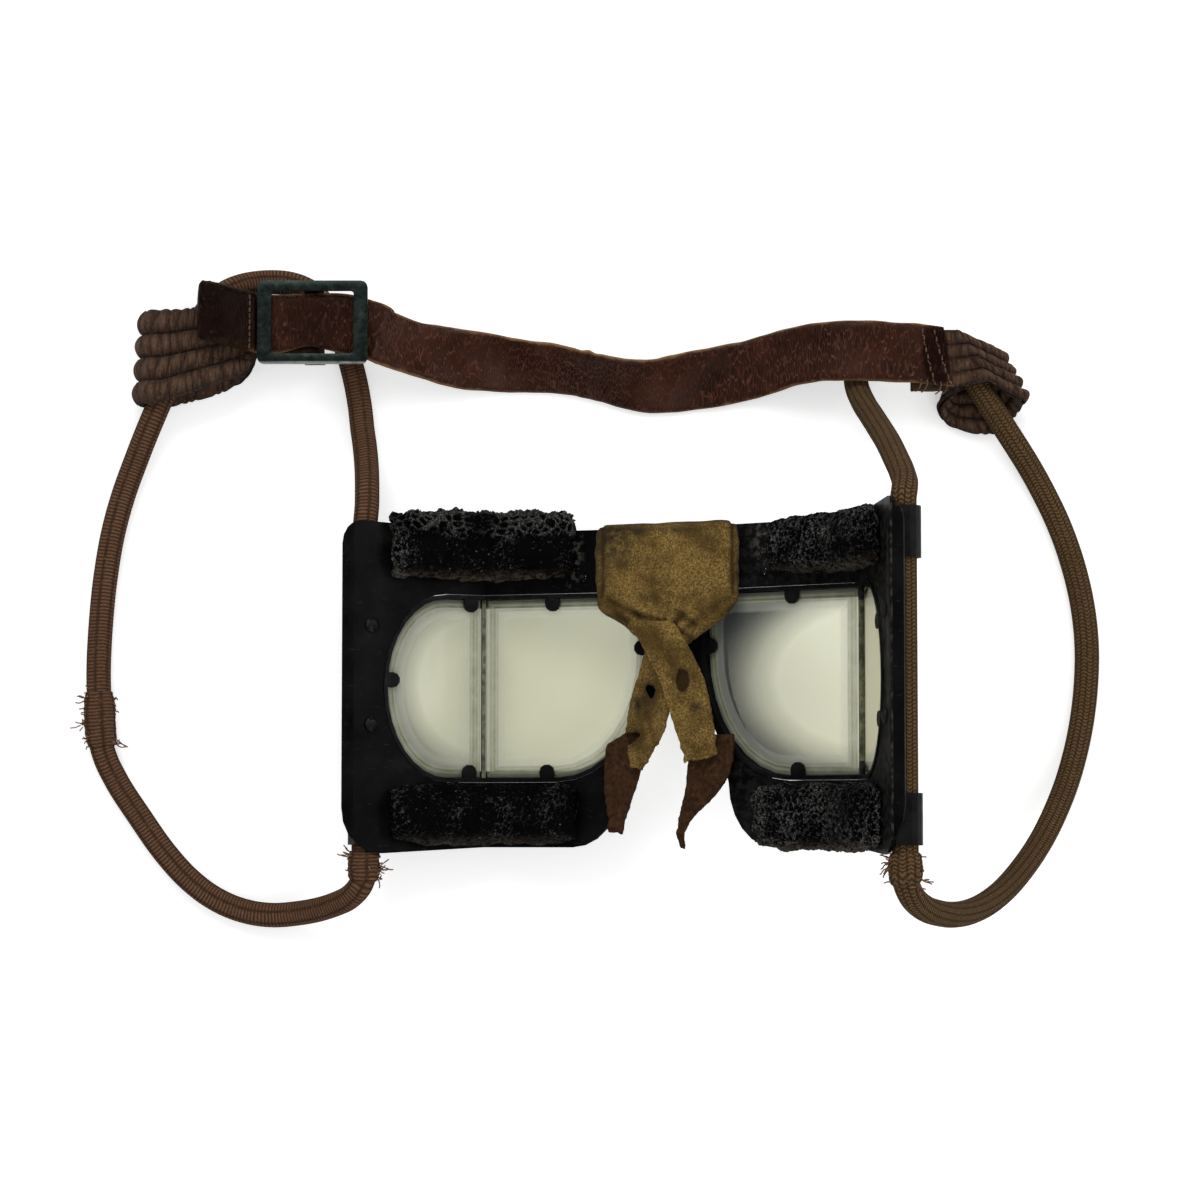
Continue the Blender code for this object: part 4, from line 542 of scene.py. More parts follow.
def pane_finish(name, facing, milk, lit, shade):
    """Clear face, dull ground bevel and cut edge; milk is how cloudy the pane looks from aslant,
    lit the oval part of it that the plate's rim doesn't shade, and shade how dark the rest is."""
    material = bpy.data.materials.new(name)
    material.use_nodes = True
    tree = material.node_tree
    tree.nodes.remove(tree.nodes["Principled BSDF"])
    rim = marked(material, "rim")
    rings = (
        (0.2, (0.60, 0.605, 0.53)),
        (0.50, (0.50, 0.505, 0.44)),
        (0.60, (0.26, 0.27, 0.18)),
        (0.70, (0.42, 0.43, 0.32)),
        (0.80, (0.14, 0.15, 0.09)),
        (0.92, (0.34, 0.36, 0.22)),
    )
    cloud = patches(material, 260, 5, (0.4, 0.0), (0.7, 0.4))
    grey = layered(material, stepped(material, rim, rings), (cloud, (0.60, 0.60, 0.52)))
    dull = stepped(material, rim, ((0.03, 0.0), (0.16, 0.24), (0.50, 0.30), (0.60, 0.62), (0.95, 0.70)))
    face = clear_face(material, milk, lit, shade)
    top = mixed(material, dull, face, ground_glass(material, grey, 0.4))
    green = patches(material, 900, 2, (0.4, 0.0), (0.6, 1.0))
    green = layered(material, (0.70, 0.72, 0.50), (green, (0.52, 0.53, 0.33)))
    edge = ground_glass(material, green, 0.35)
    edge = mixed(material, 0.55, edge, coloured(material, "Transparent", green))
    normal = add(material, "ShaderNodeNewGeometry").outputs["True Normal"]
    turned = {0: normal, 1: facing}
    turned = add(material, "ShaderNodeVectorMath", turned, operation="DOT_PRODUCT").outputs["Value"]
    is_edge = {"Value": calculated(material, "ABSOLUTE", turned), "From Min": 0.90, "From Max": 0.80}
    is_edge = add(material, "ShaderNodeMapRange", is_edge).outputs[0]
    tree.links.new(mixed(material, is_edge, top, edge), tree.nodes["Material Output"].inputs["Surface"])
    return material


for side in ("left", "right"):
    for pane in ("front_pane", "side_pane"):
        solid = f"{side}_{pane}"
        work = merged(solid)
        bmesh.ops.dissolve_limit(work, angle_limit=math.radians(1.0), verts=work.verts, edges=work.edges)
        upper = max((face for face in work.faces if face.normal.z > 0.05), key=lambda face: face.calc_area())
        facing = upper.normal.copy()
        outline = set(upper.verts)
        bmesh.ops.inset_individual(work, faces=[upper], thickness=bevel_width, use_even_offset=True)
        for vert in outline:
            vert.co -= facing * bevel_drop
        work.verts.index_update()
        on_outline = {vert.index for vert in outline}
        low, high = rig.box(solid)
        width, height = high.x - low.x, high.y - low.y
        lit = (high.x, (low.y + high.y) / 2 + 0.001, 0), (width * 0.98, height * 0.62, 1.0)
        milk, shade = aslant_milk.get(solid, clear_milk), rim_shade.get(solid, 0.0)
        glass = pane_finish(f"{solid}_glass", tuple(facing), milk, lit, shade)
        piece = piece_from(f"{side}_bevelled_{pane}", work, glass)
        mark(piece, "rim", [1.0 if k in on_outline else 0.0 for k in range(len(piece.data.vertices))])
        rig.ride(piece, "frame_body")
        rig.replaces(piece, solid)
        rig.slot(piece, "laminated_glass")


# A bead of cement closes the corner where the two panes of an eye meet.
# It was run in from the face side and has aged to a mottled olive.
cement = finish("pane_joint_cement", (0.10, 0.10, 0.06), 0.35)
aged = patches(cement, 600, 5, (0.35, (0.035, 0.035, 0.02)), (0.7, (0.22, 0.22, 0.13)))
wire(cement, "Base Color", aged)
relief(cement, cloudy(cement, 900, 4), 0.0001, 0.6)
for side in ("left", "right"):
    dressed(f"{side}_pane_joint", cement)


# The elastic cord is a braided cotton sleeve over rubber strands. It is one run on the right and
# two on the left, each led through the clips, round the headband's end and back along the table.
# Each course starts and ends at a seam and is given in millimetres.
cord_radius = 0.003
clip_line = {"left": (-52.23, 18.05), "right": (72.86, 81.79)}
left_long_course = (
    (-52.23, -72.95, 18.05), (-52.23, -54.49, 18.05), (-52.23, -36.50, 18.05), (-52.23, -18.52, 18.05),
    (-52.23, -0.53, 18.05), (-52.24, 9.41, 18.07), (-52.16, 10.79, 17.77), (-51.96, 14.35, 16.53),
    (-52.02, 17.88, 15.16), (-52.40, 23.70, 11.13), (-53.19, 29.89, 6.85), (-53.96, 34.54, 4.65),
    (-54.58, 39.58, 3.56), (-55.87, 46.54, 3.11), (-58.52, 55.62, 3.10), (-61.71, 62.48, 3.10),
    (-64.10, 66.00, 3.10), (-66.89, 68.55, 3.10), (-69.37, 69.90, 3.09), (-73.01, 70.91, 3.12),
    (-76.78, 71.12, 3.33), (-79.99, 70.81, 4.06), (-84.76, 69.54, 5.70), (-87.20, 68.35, 6.51),
    (-89.76, 66.33, 7.03), (-91.90, 63.81, 7.14), (-95.94, 56.86, 7.10), (-101.49, 45.88, 7.11),
    (-105.02, 37.61, 6.96), (-106.93, 33.44, 5.83), (-110.15, 25.85, 3.72), (-112.60, 19.22, 3.14),
    (-115.23, 9.64, 3.09), (-117.17, -2.03, 3.09), (-118.29, -14.76, 3.22), (-118.55, -26.08, 4.04),
    (-118.10, -36.95, 4.20),
)
left_short_course = (
    (-118.10, -37.25, 4.20), (-117.66, -43.51, 4.24), (-116.67, -46.90, 3.90), (-114.19, -52.06, 3.23),
    (-108.37, -61.01, 3.08), (-101.42, -70.63, 3.10), (-96.24, -76.23, 3.10), (-90.61, -80.58, 3.09),
    (-85.78, -83.03, 3.32), (-79.95, -84.70, 3.89), (-75.13, -85.15, 4.75), (-69.27, -84.69, 6.35),
    (-63.96, -83.74, 8.81), (-59.18, -82.22, 11.97), (-56.06, -80.76, 14.72), (-53.88, -78.81, 16.74),
    (-53.01, -77.60, 17.54), (-52.47, -76.42, 17.91), (-52.19, -75.28, 18.08), (-52.23, -73.25, 18.05),
)
right_course = (
    (72.86, -72.95, 81.79), (72.86, -54.60, 81.79), (72.86, -36.95, 81.79), (72.86, -18.60, 81.79),
    (72.86, -0.96, 81.79), (72.85, 8.93, 81.82), (72.86, 9.63, 81.79), (72.91, 10.29, 81.57),
    (73.14, 11.40, 80.73), (73.55, 13.79, 78.18), (73.23, 16.35, 74.83), (72.35, 20.60, 67.56),
    (71.60, 25.28, 56.54), (70.82, 29.70, 43.91), (69.86, 34.92, 28.57), (68.99, 39.20, 16.64),
    (68.49, 41.64, 11.58), (68.00, 44.01, 8.12), (67.78, 46.65, 5.80), (67.85, 49.11, 4.42),
    (68.28, 51.09, 3.82), (69.01, 53.04, 3.50), (69.79, 54.20, 3.32), (71.33, 55.64, 3.17),
    (73.15, 56.71, 3.09), (75.88, 57.40, 3.05), (80.79, 57.66, 3.36), (86.38, 57.11, 3.93),
    (88.35, 56.44, 4.26), (90.69, 54.99, 4.86), (92.53, 53.03, 5.71), (94.81, 49.62, 6.75),
    (98.10, 44.21, 7.12), (104.11, 34.65, 7.16), (106.04, 31.75, 6.65), (110.61, 24.99, 4.40),
    (114.08, 18.95, 3.28), (117.71, 11.30, 3.09), (121.20, 1.32, 3.10), (123.54, -9.00, 3.10),
    (124.49, -18.12, 3.10), (124.25, -28.70, 3.10), (122.99, -38.50, 3.23), (121.06, -46.69, 4.08),
    (118.87, -53.21, 5.65), (116.17, -59.19, 8.22), (113.17, -64.57, 11.66), (109.66, -69.52, 16.49),
    (105.38, -74.32, 23.03), (101.09, -78.17, 30.15), (96.08, -81.37, 38.91), (91.34, -83.20, 47.38),
    (86.32, -83.89, 56.66), (82.07, -83.43, 64.77), (77.66, -81.95, 72.68), (75.42, -80.31, 76.75),
    (74.05, -78.58, 79.51), (73.13, -76.61, 81.28), (72.94, -76.02, 81.63), (72.83, -75.36, 81.84),
    (72.86, -73.25, 81.79),
)


def on_clips(side, *ways):
    """Points on the straight run that a cord makes through its two clips."""
    across, height = clip_line[side]
    return [(across, way, height) for way in ways]


def even_line(course, step):
    """Points a step apart along the smooth line through a course in millimetres."""
    points = [Vector(point) / 1000 for point in course]
    slopes = []
    for k, point in enumerate(points):
        before, after = points[max(k - 1, 0)], points[min(k + 1, len(points) - 1)]
        back, ahead = max((point - before).length, 1e-9), max((after - point).length, 1e-9)
        if k in (0, len(points) - 1):
            slopes.append((after - before).normalized())
        else:
            slope = (point - before) / back * ahead + (after - point) / ahead * back
            slopes.append(slope / (back + ahead))
    line = []
    for k in range(len(points) - 1):
        length = (points[k + 1] - points[k]).length
        count = max(1, round(length / step))
        for n in range(count):
            t = n / count
            line.append(
                points[k] * (2 * t**3 - 3 * t**2 + 1)
                + slopes[k] * length * (t**3 - 2 * t**2 + t)
                + points[k + 1] * (3 * t**2 - 2 * t**3)
                + slopes[k + 1] * length * (t**3 - t**2)
            )
    return line + [points[-1]]


def laid_grid(name, around, along, place, material, closed=False, uv_size=(1, 1)):
    """A grid laid on the surface place(across, along), both from 0 to 1, with a map of its course."""
    work = bmesh.new()
    work.loops.layers.uv.new("course")
    bmesh.ops.create_grid(work, x_segments=around, y_segments=along, size=0.5, calc_uvs=True)
    uv = work.loops.layers.uv["course"]
    for face in work.faces:
        for loop in face.loops:
            loop[uv].uv = ((loop.vert.co.x + 0.5) * uv_size[0], (loop.vert.co.y + 0.5) * uv_size[1])
    for vert in work.verts:
        vert.co = place(vert.co.x + 0.5, vert.co.y + 0.5)
    if closed:
        bmesh.ops.remove_doubles(work, verts=work.verts, dist=1e-6)
        rims = [edge for edge in work.edges if edge.is_boundary]
        bmesh.ops.holes_fill(work, edges=rims, sides=0)
    bmesh.ops.recalc_face_normals(work, faces=work.faces)
    return piece_from(name, work, material, True)


def braided_tube(name, line, around, material, radius_at):
    """A braid round a line, with its length and two directions across it at each point."""
    across = []
    side = None
    for k in range(len(line)):
        along = (line[min(k + 1, len(line) - 1)] - line[max(k - 1, 0)]).normalized()
        side = along.orthogonal().normalized() if side is None else side
        side = (side - along * along.dot(side)).normalized()
        across.append((side, along.cross(side)))
    count = len(line) - 1

    def place(share, way):
        k = round(way * count)
        angle = share * 2 * math.pi
        out = across[k][0] * math.cos(angle) + across[k][1] * math.sin(angle)
        return line[k] + out * radius_at(line[k], way, out)

    length = sum((after - before).length for before, after in zip(line, line[1:]))
    girths = length / (2 * math.pi * cord_radius)
    piece = laid_grid(name, around, count, place, material, True, (1, girths))
    return piece, length, across


def course_of(material):
    """The piece's own map, split in its share around and its way along in girths."""
    mapped = add(material, "ShaderNodeUVMap", uv_map="course").outputs[0]
    parts = add(material, "ShaderNodeSeparateXYZ", {0: mapped})
    return parts.outputs["X"], parts.outputs["Y"]


def toned(colour, strength):
    """A colour made darker or lighter."""
    return tuple(min(1, channel * strength) for channel in colour)


def braid_finish(name, dark, light, strands, rows, slant):
    """A braided sleeve: strands cross at a slant, turning back at each strand's edge."""
    material = finish(name, light, 0.9, shine=0.06)
    around, along = course_of(material)
    strand = times(material, around, float(strands))
    lean = times(material, calculated(material, "PINGPONG", strand, 1.0), slant)
    bar = calculated(material, "FRACT", calculated(material, "MULTIPLY_ADD", along, float(rows), lean))
    crown = calculated(material, "PINGPONG", times(material, bar, 2.0), 1.0)
    valley = calculated(material, "PINGPONG", calculated(material, "ADD", strand, 0.5), 0.5)
    thread = times(material, crown, stepped(material, valley, ((0.0, 0.0), (0.22, 1.0))))
    fuzz = cloudy(material, 1600, 4)
    # The thread's crowns are painted lighter and the valleys between strands darker, a painted highlight and painted
    # shade.
    colour = layered(
        material,
        stepped(material, thread, ((0.05, toned(dark, 0.45)), (0.35, dark), (0.85, light))),
        (patches(material, 70, 4, (0.35, 0.0), (0.7, 0.40)), toned(dark, 0.7)),
        (stepped(material, fuzz, ((0.55, 0.0), (0.75, 0.40))), toned(light, 1.6)),
    )
    wire(material, "Base Color", colour)
    first = relief(material, thread, 0.00022, 0.9)
    relief(material, fuzz, 0.00012, 0.6, first)
    return material


left_braid = braid_finish("left_reddish_braid", (0.076, 0.038, 0.021), (0.150, 0.080, 0.047), 6, 22, 0.25)
right_braid = braid_finish("right_olive_braid", (0.066, 0.038, 0.017), (0.150, 0.090, 0.042), 12, 21, 1.0)
for name, solid, course, braid in (
    ("left_long_braid", "left_cord_long", left_long_course, left_braid),
    ("left_short_braid", "left_cord_short", left_short_course, left_braid),
    ("right_braid", "right_cord", right_course, right_braid),
):
    line = even_line(course, 0.0009)
    piece, length, _ = braided_tube(name, line, 24, braid, lambda point, way, out: cord_radius)
    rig.ride(piece, "frame_body")
    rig.replaces(piece, solid)
    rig.slot(piece, "left_braid" if "left" in name else "right_braid")
    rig.cord(
        piece,
        exit=tuple(line[0]),
        length=length,
        diameter=2 * cord_radius,
        far_end="object",
        stiffness="limp",
        lay="loose",
        path=[tuple(point) for point in line[::3] + [line[-1]]],
        with_pieces=(),
    )


# Where two cord ends meet, the braid is bound with thread and its cut ends have frayed.
# The sleeve rides over the joint, and loose cotton strands stand out of it.
sleeve_swell = 0.0009
joint_course = {
    "left_outer": (
        (-118.40, -30.5, 4.15), (-118.25, -34.5, 4.2), (-118.10, -37.1, 4.2), (-117.9, -40.0, 4.2),
        (-117.45, -44.0, 4.2),
    ),
    "left_lower": (*on_clips("left", -69.5, -71.5, -73.1), (-52.23, -74.6, 18.07), (-52.35, -76.6, 17.9)),
    "right": (*on_clips("right", -69.5, -71.5, -73.1), (72.86, -74.6, 81.8), (73.05, -76.5, 81.3)),
}


def thread_bundle(name, strands, thickness, material):
    """Loose threads as one curve piece; each strand is a list of points."""
    data = bpy.data.curves.new(name, "CURVE")
    data.dimensions = "3D"
    data.bevel_depth = thickness / 2
    data.bevel_resolution = 0
    data.use_fill_caps = True
    for strand in strands:
        spline = data.splines.new("POLY")
        spline.points.add(len(strand) - 1)
        for point, place in zip(spline.points, strand):
            point.co = (*place, 1)
    piece = bpy.data.objects.new(name, data)
    bpy.context.scene.collection.objects.link(piece)
    data.materials.append(material)
    return piece


def frayed_out(chance, root, outward, length, wander):
    """One loose thread that leaves a root point and curls as it goes."""
    strand = [root.copy()]
    heading = outward.normalized()
    for _ in range(5):
        turn = Vector((chance.uniform(-1, 1), chance.uniform(-1, 1), chance.uniform(-0.6, 0.8)))
        heading = (heading + turn * wander).normalized()
        strand.append(strand[-1] + heading * length / 5)
    return [Vector((point.x, point.y, max(point.z, 0.0004))) for point in strand]


def sleeve_radius(point, way, out):
    """The sleeve swells in its middle, and its bound threads are uneven."""
    swelled_out = cord_radius + sleeve_swell * math.sin(math.pi * way) ** 0.35
    rough = noise.noise(point * 900 + out * 2.2) * 0.00035
    return max(swelled_out + rough, cord_radius + 0.00008)


fray_tan = finish("frayed_cotton", (0.17, 0.085, 0.050), 0.9, shine=0.1)
tans = patches(fray_tan, 500, 3, (0.35, (0.09, 0.04, 0.024)), (0.7, (0.26, 0.15, 0.10)))
wire(fray_tan, "Base Color", tans)
chance = random.Random(11)
for side, braid, tufts in (
    ("left_outer", left_braid, ((-1.0, 0.6, 0.25), (1.0, -0.5, 0.75), (-0.8, -0.4, 0.5))),
    ("left_lower", left_braid, ((-1.0, 0.3, 0.25), (1.0, 0.2, 0.75), (0.9, -0.5, 0.5))),
    ("right", right_braid, ((-1.0, -0.2, 0.25), (1.0, -0.6, 0.75), (-0.9, 0.4, 0.5))),
):
    line = even_line(joint_course[side], 0.0004)
    sleeve, _, across = braided_tube(f"{side}_splice_sleeve", line, 30, braid, sleeve_radius)
    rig.ride(sleeve, "frame_body")
    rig.replaces(sleeve, f"{side}_cord_binding")
    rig.slot(sleeve, "right_braid" if side == "right" else "left_braid")
    count = len(line) - 1
    strands = []
    for lean_x, lean_y, share in tufts:
        lean = Vector((lean_x, lean_y, 0.1)).normalized()
        seat = line[int(count * share)] + lean * cord_radius
        for _ in range(13):
            shift = Vector([chance.gauss(0, 0.0011) for _ in range(3)])
            size = chance.uniform(0.0011, 0.0030)
            strands.append(frayed_out(chance, seat + shift * 0.8, lean + shift * 300, size, 0.45))
    for _ in range(26):
        k = chance.randrange(count)
        angle = chance.uniform(0, 2 * math.pi)
        out = across[k][0] * math.cos(angle) + across[k][1] * math.sin(angle)
        strands.append(frayed_out(chance, line[k] + out * (cord_radius + 0.0004), out, 0.0016, 0.8))
    fray = thread_bundle(f"{side}_splice_fray", strands, 0.00030, fray_tan)
    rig.ride(fray, "frame_body")


# The sponge pads are strips of black open-cell rubber, cut by hand and stuck to the plate.
# Age has opened the cells on their outer edges; the torn cell walls and glints are painted grey as painted highlights.
pad_strip = {"left_upper": 0.38}
cell_depth = 0.0014
fringe_width = 0.0016


def clamped(value, low=0.0, high=1.0):
    return max(low, min(high, value))


def bell(offset, width):
    """A soft bump: 1 at no offset, falling to nothing a few widths away."""
    return math.exp(-((offset / width) ** 2))


def worked(piece):
    """Fixes a piece's modifiers in its mesh."""
    bpy.context.view_layer.update()
    graph = bpy.context.evaluated_depsgraph_get()
    mesh = bpy.data.meshes.new_from_object(piece.evaluated_get(graph))
    piece.modifiers.clear()
    piece.data = mesh
    for face in mesh.polygons:
        face.use_smooth = True


def soft_copy(name, solid, voxel, material, rounds, cutters=()):
    """An evenly meshed, eased copy of a soft solid, ready to be worked."""
    piece = piece_from(name, merged(solid), material, True)
    for cutter in cutters:
        cut = piece.modifiers.new("cut", "BOOLEAN")
        cut.operation = "DIFFERENCE"
        cut.solver = "EXACT"
        cut.object = cutter
    even = piece.modifiers.new("even", "REMESH")
    even.mode = "VOXEL"
    even.voxel_size = voxel
    worked(piece)
    for cutter in cutters:
        bpy.data.objects.remove(cutter)
    work = bmesh.new()
    work.from_mesh(piece.data)
    axes = {"use_axis_x": True, "use_axis_y": True, "use_axis_z": True}
    for _ in range(rounds):
        bmesh.ops.smooth_vert(work, verts=work.verts, factor=0.5, **axes)
    work.to_mesh(piece.data)
    work.free()
    return piece


def points_of(piece):
    """Each point of a piece with its place, which follows the point, and its first normal."""
    normals = [vert.normal.copy() for vert in piece.data.vertices]
    return [(vert, vert.co, normal) for vert, normal in zip(piece.data.vertices, normals)]


sponge = finish("open_cell_sponge", (0.003, 0.003, 0.0032), 0.85, shine=0.03)
wall = stepped(sponge, marked(sponge, "cell_wall"), ((0.50, 0.0), (0.92, 1.0)))
grain = cloudy(sponge, 2600, 3)
pores = add(sponge, "ShaderNodeTexVoronoi", {"Vector": place_of(sponge), "Scale": 1100.0}).outputs["Distance"]
# Painted highlight: cell walls are painted grey and glints are scattered over the black rubber.
wall_highlight = times(sponge, stepped(sponge, grain, ((0.46, 0.08), (0.62, 1.0))), wall)
sparkle = patches(sponge, 1500, 3, (0.66, 0.0), (0.72, 0.8))
fringe = times(sponge, marked(sponge, "fringe"), patches(sponge, 650, 5, (0.38, 0.1), (0.58, 1.0)))
colour = layered(
    sponge,
    (0.0014, 0.0014, 0.0016),
    (wall_highlight, (0.105, 0.105, 0.10)),
    (sparkle, (0.10, 0.105, 0.11)),
    (fringe, (0.11, 0.085, 0.060)),
)
wire(sponge, "Base Color", colour)
wire(sponge, "Roughness", stepped(sponge, fringe, ((0.0, 0.75), (0.6, 0.30))))
first = relief(sponge, pores, 0.0002, 0.7)
relief(sponge, grain, 0.0001, 0.7, first)
for end, coarse, fringed in (
    ("left_upper", 1.0, 1.0),
    ("left_lower", 0.22, 0.25),
    ("right_upper", 0.50, 0.4),
    ("right_lower", 0.55, 0.5),
):
    piece = soft_copy(f"{end}_open_cell_pad", f"{end}_sponge_pad", 0.00042, sponge, 5)
    low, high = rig.box(f"{end}_sponge_pad")
    strip = pad_strip.get(end, 0.0)
    walls = []
    fringes = []
    shift = Vector((0.3, coarse, 3.1))
    for vert, place, normal in points_of(piece):
        from_brow = (high.y - place.y) / (high.y - low.y) + noise.noise(place * 210) * 0.05
        from_end = (place.x - low.x) / 0.0045 + noise.noise(place * 300 + shift) * 0.5
        in_strip = clamped(max((strip + 0.04 - from_brow) / 0.08, 1.3 - from_end)) if strip else 0.0
        open_cells = coarse * in_strip + (0.16 if strip else coarse) * (1 - in_strip)
        cells_per_metre = 1 / (0.00115 + 0.00095 * in_strip)
        near = noise.voronoi(place * cells_per_metre + shift)[0]
        edge = min(1.0, (near[1] - near[0]) * 2.2)
        lump = noise.noise(place * 260) * 0.0010 + noise.noise(place * 700) * (0.0003 + 0.0005 * in_strip)
        step_down = 0.0007 * (1 - in_strip) if strip else 0.0
        vert.co = place + normal * (lump - step_down - cell_depth * open_cells * edge**0.8)
        light = 1.05 + 0.55 * noise.noise(place * 150 + shift)
        walls.append((1 - edge) * min(1.0, 0.48 + open_cells * 0.75) * light)
        fringes.append(fringed * bell(place.y - low.y, fringe_width))
    mark(piece, "cell_wall", walls)
    mark(piece, "fringe", fringes)
    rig.ride(piece, "frame_body")
    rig.replaces(piece, f"{end}_sponge_pad")
    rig.slot(piece, "sponge_rubber")
    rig.padded(piece, fill=0.9)


# The nose pad is a stuffed chamois cushion, sewn round its edge and gathered at its neck.
# It is soiled by wear, most of all at its upper left corner and below its middle.
seam_from_side = 0.0017
neck_folds = (
    (0.0065, -0.0095, 0.0265, -0.0190, 0.0007),
    (0.0140, -0.0085, 0.0275, -0.0160, 0.0005),
    (0.0200, -0.0100, 0.0265, -0.0150, 0.0005),
    (0.0350, -0.0100, 0.0275, -0.0160, 0.0006),
    (0.0150, -0.0062, 0.0215, -0.0060, 0.0003),
)
chamois = finish("worn_chamois", (0.16, 0.095, 0.030), 0.95, shine=0.04)
chamois.node_tree.nodes["Principled BSDF"].inputs["Sheen Weight"].default_value = 0.05
nap = cloudy(chamois, 2100, 6, 0.65)
blotch = cloudy(chamois, 130, 6, 0.6)
tans = ((0.34, (0.062, 0.037, 0.011)), (0.50, (0.165, 0.102, 0.028)), (0.68, (0.34, 0.225, 0.078)))
grime = spots(
    chamois,
    ((0.0072, 0.0062, 0.032), (0.0095, 0.0120, 0.03), 0.8, 1.0),
    ((0.0275, -0.0355, 0.030), (0.0022, 0.0022, 0.02), 0.8, 1.0),
    ((0.0210, 0.0070, 0.032), (0.0175, 0.0013, 0.03), 0.9, 0.7),
    ((0.0140, -0.0345, 0.020), (0.0040, 0.0030, 0.03), 0.8, 1.0),
)
colour = layered(
    chamois,
    stepped(chamois, nap, tans),
    (stepped(chamois, blotch, ((0.44, 0.0), (0.62, 0.80))), (0.058, 0.033, 0.009)),
    (patches(chamois, 620, 4, (0.68, 0.0), (0.74, 0.85)), (0.035, 0.020, 0.010)),
    (times(chamois, grime, patches(chamois, 420, 6, (0.36, 0.15), (0.56, 1.0))), (0.022, 0.018, 0.011)),
    # Painted shade: the neck folds and pleat valleys are painted darker, as are the seam and the edges.
    (marked(chamois, "crease"), (0.030, 0.016, 0.006)),
)
wire(chamois, "Base Color", colour)
first = relief(chamois, blotch, 0.0006, 0.35)
relief(chamois, nap, 0.00022, 0.7, first)


def swelled(piece, pressure, cap):
    """Blows a cushion up with cloth simulation and lets no point move further than cap."""
    rest = [vert.co.copy() for vert in piece.data.vertices]
    cloth = piece.modifiers.new("stuffing", "CLOTH")
    settings = cloth.settings
    settings.use_pressure = True
    settings.uniform_pressure_force = pressure
    settings.mass = 0.2
    settings.quality = 4
    settings.effector_weights.gravity = 0
    scene = bpy.context.scene
    cloth.point_cache.frame_end = 16
    for number in range(1, 15):
        scene.frame_set(number)
    graph = bpy.context.evaluated_depsgraph_get()
    swollen = [vert.co.copy() for vert in piece.evaluated_get(graph).data.vertices]
    piece.modifiers.clear()
    scene.frame_set(1)
    for vert, start, end in zip(piece.data.vertices, rest, swollen):
        move = end - start
        if move.length > cap:
            move *= cap / move.length
        vert.co = start + move


def neck_fold_depth(place):
    """How deep the gathered neck's folds are at a place; each fold runs between two points."""
    depth = 0.0
    flat = place.to_2d()
    for start_x, start_y, end_x, end_y, deep in neck_folds:
        start, run = Vector((start_x, start_y)), Vector((end_x - start_x, end_y - start_y))
        share = clamped((flat - start).dot(run) / run.length_squared)
        off = (flat - start - run * share).length + noise.noise(place * 190) * 0.0008
        depth += deep * (bell(off, 0.0006) - 0.6 * bell(off - 0.0016, 0.0008))
    return depth


piece = soft_copy("stuffed_nose_pad", "chamois_nose_pad", 0.00055, chamois, 6)
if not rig.quick():
    swelled(piece, 3.0, 0.0008)
low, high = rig.box("chamois_nose_pad")
middle_x = (low.x + high.x) / 2
crease_shade = []
for vert, place, normal in points_of(piece):
    down = (high.y - place.y) / (high.y - low.y)
    from_side = min(place.x - low.x, high.x - place.x)
    seam = bell(from_side - seam_from_side, 0.0005) if down < 0.62 else 0.0
    gather = min(1.0, max(0.0, down - 0.50) * 4.05)
    turn = math.atan2(place.y - low.y + 0.001, place.x - middle_x + 0.0005)
    reach = Vector((place.x - middle_x, place.y - low.y)).length
    pleat = noise.noise(Vector((turn * 5.0, reach * 110, 4.0))) * gather
    pleat += noise.noise(Vector((place.x * 60, place.y * 1100, 2.0))) * 0.5 * bell(down, 0.08)
    slack = noise.noise(Vector((place.x * 160, place.y * 420, place.z * 160))) * 0.00035
    folded = neck_fold_depth(place)
    vert.co = place + normal * (slack - 0.00045 * seam + 0.0009 * pleat + 0.0001 - folded)
    edge = (0.45 * bell(from_side, 0.0014) + 0.55 * bell(down, 0.045)) * (0.6 + noise.noise(place * 400))
    dark = seam * 0.8 + edge + max(0.0, folded) * 650 + max(0.0, -pleat - 0.05) * 2.2
    crease_shade.append(clamped(dark, 0.0, 0.9))
mark(piece, "crease", crease_shade)
cushion = BVHTree.FromPolygons(
    [vert.co for vert in piece.data.vertices], [face.vertices for face in piece.data.polygons]
)
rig.ride(piece, "frame_body")
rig.replaces(piece, "chamois_nose_pad")
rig.slot(piece, "chamois")
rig.padded(piece, fill=0.5)


# Two chamois tails hang from the nose pad's neck. They are single skins, stretched thin,
# torn along their hems and holed, with darker lining leather sewn behind them.
# A hole is its place, width, height and turn, and the seed of its ragged edge.
left_tail_holes = (
    (0.0168, -0.0312, 0.0020, 0.0034, 0.3, 1),
    (0.0121, -0.0424, 0.0042, 0.0026, 0.5, 2),
    (0.0098, -0.0448, 0.0030, 0.0022, 0.9, 4),
)
right_hole_centre = Vector((0.0243, -0.0290))
right_hole_reach = (0.0015, 0.0027)


def hole_cutter(x, y, width, height, turn, seed):
    """A ragged plug that tears a hole through a skin."""
    rough = random.Random(seed)
    work = bmesh.new()
    bmesh.ops.create_cone(work, cap_ends=True, segments=18, radius1=0.5, radius2=0.5, depth=0.2)
    for vert in work.verts:
        angle = math.atan2(vert.co.y, vert.co.x)
        wave = 1 + 0.16 * math.sin(3 * angle + seed) + 0.10 * math.sin(7 * angle + 2 * seed)
        vert.co.x *= width * wave
        vert.co.y *= height * wave
    bmesh.ops.rotate(work, verts=work.verts, cent=(0, 0, 0), matrix=Matrix.Rotation(turn, 3, "Z"))
    bmesh.ops.translate(work, verts=work.verts, vec=(x, y, rough.uniform(-0.001, 0.001)))
    return piece_from("hole", work, chamois)


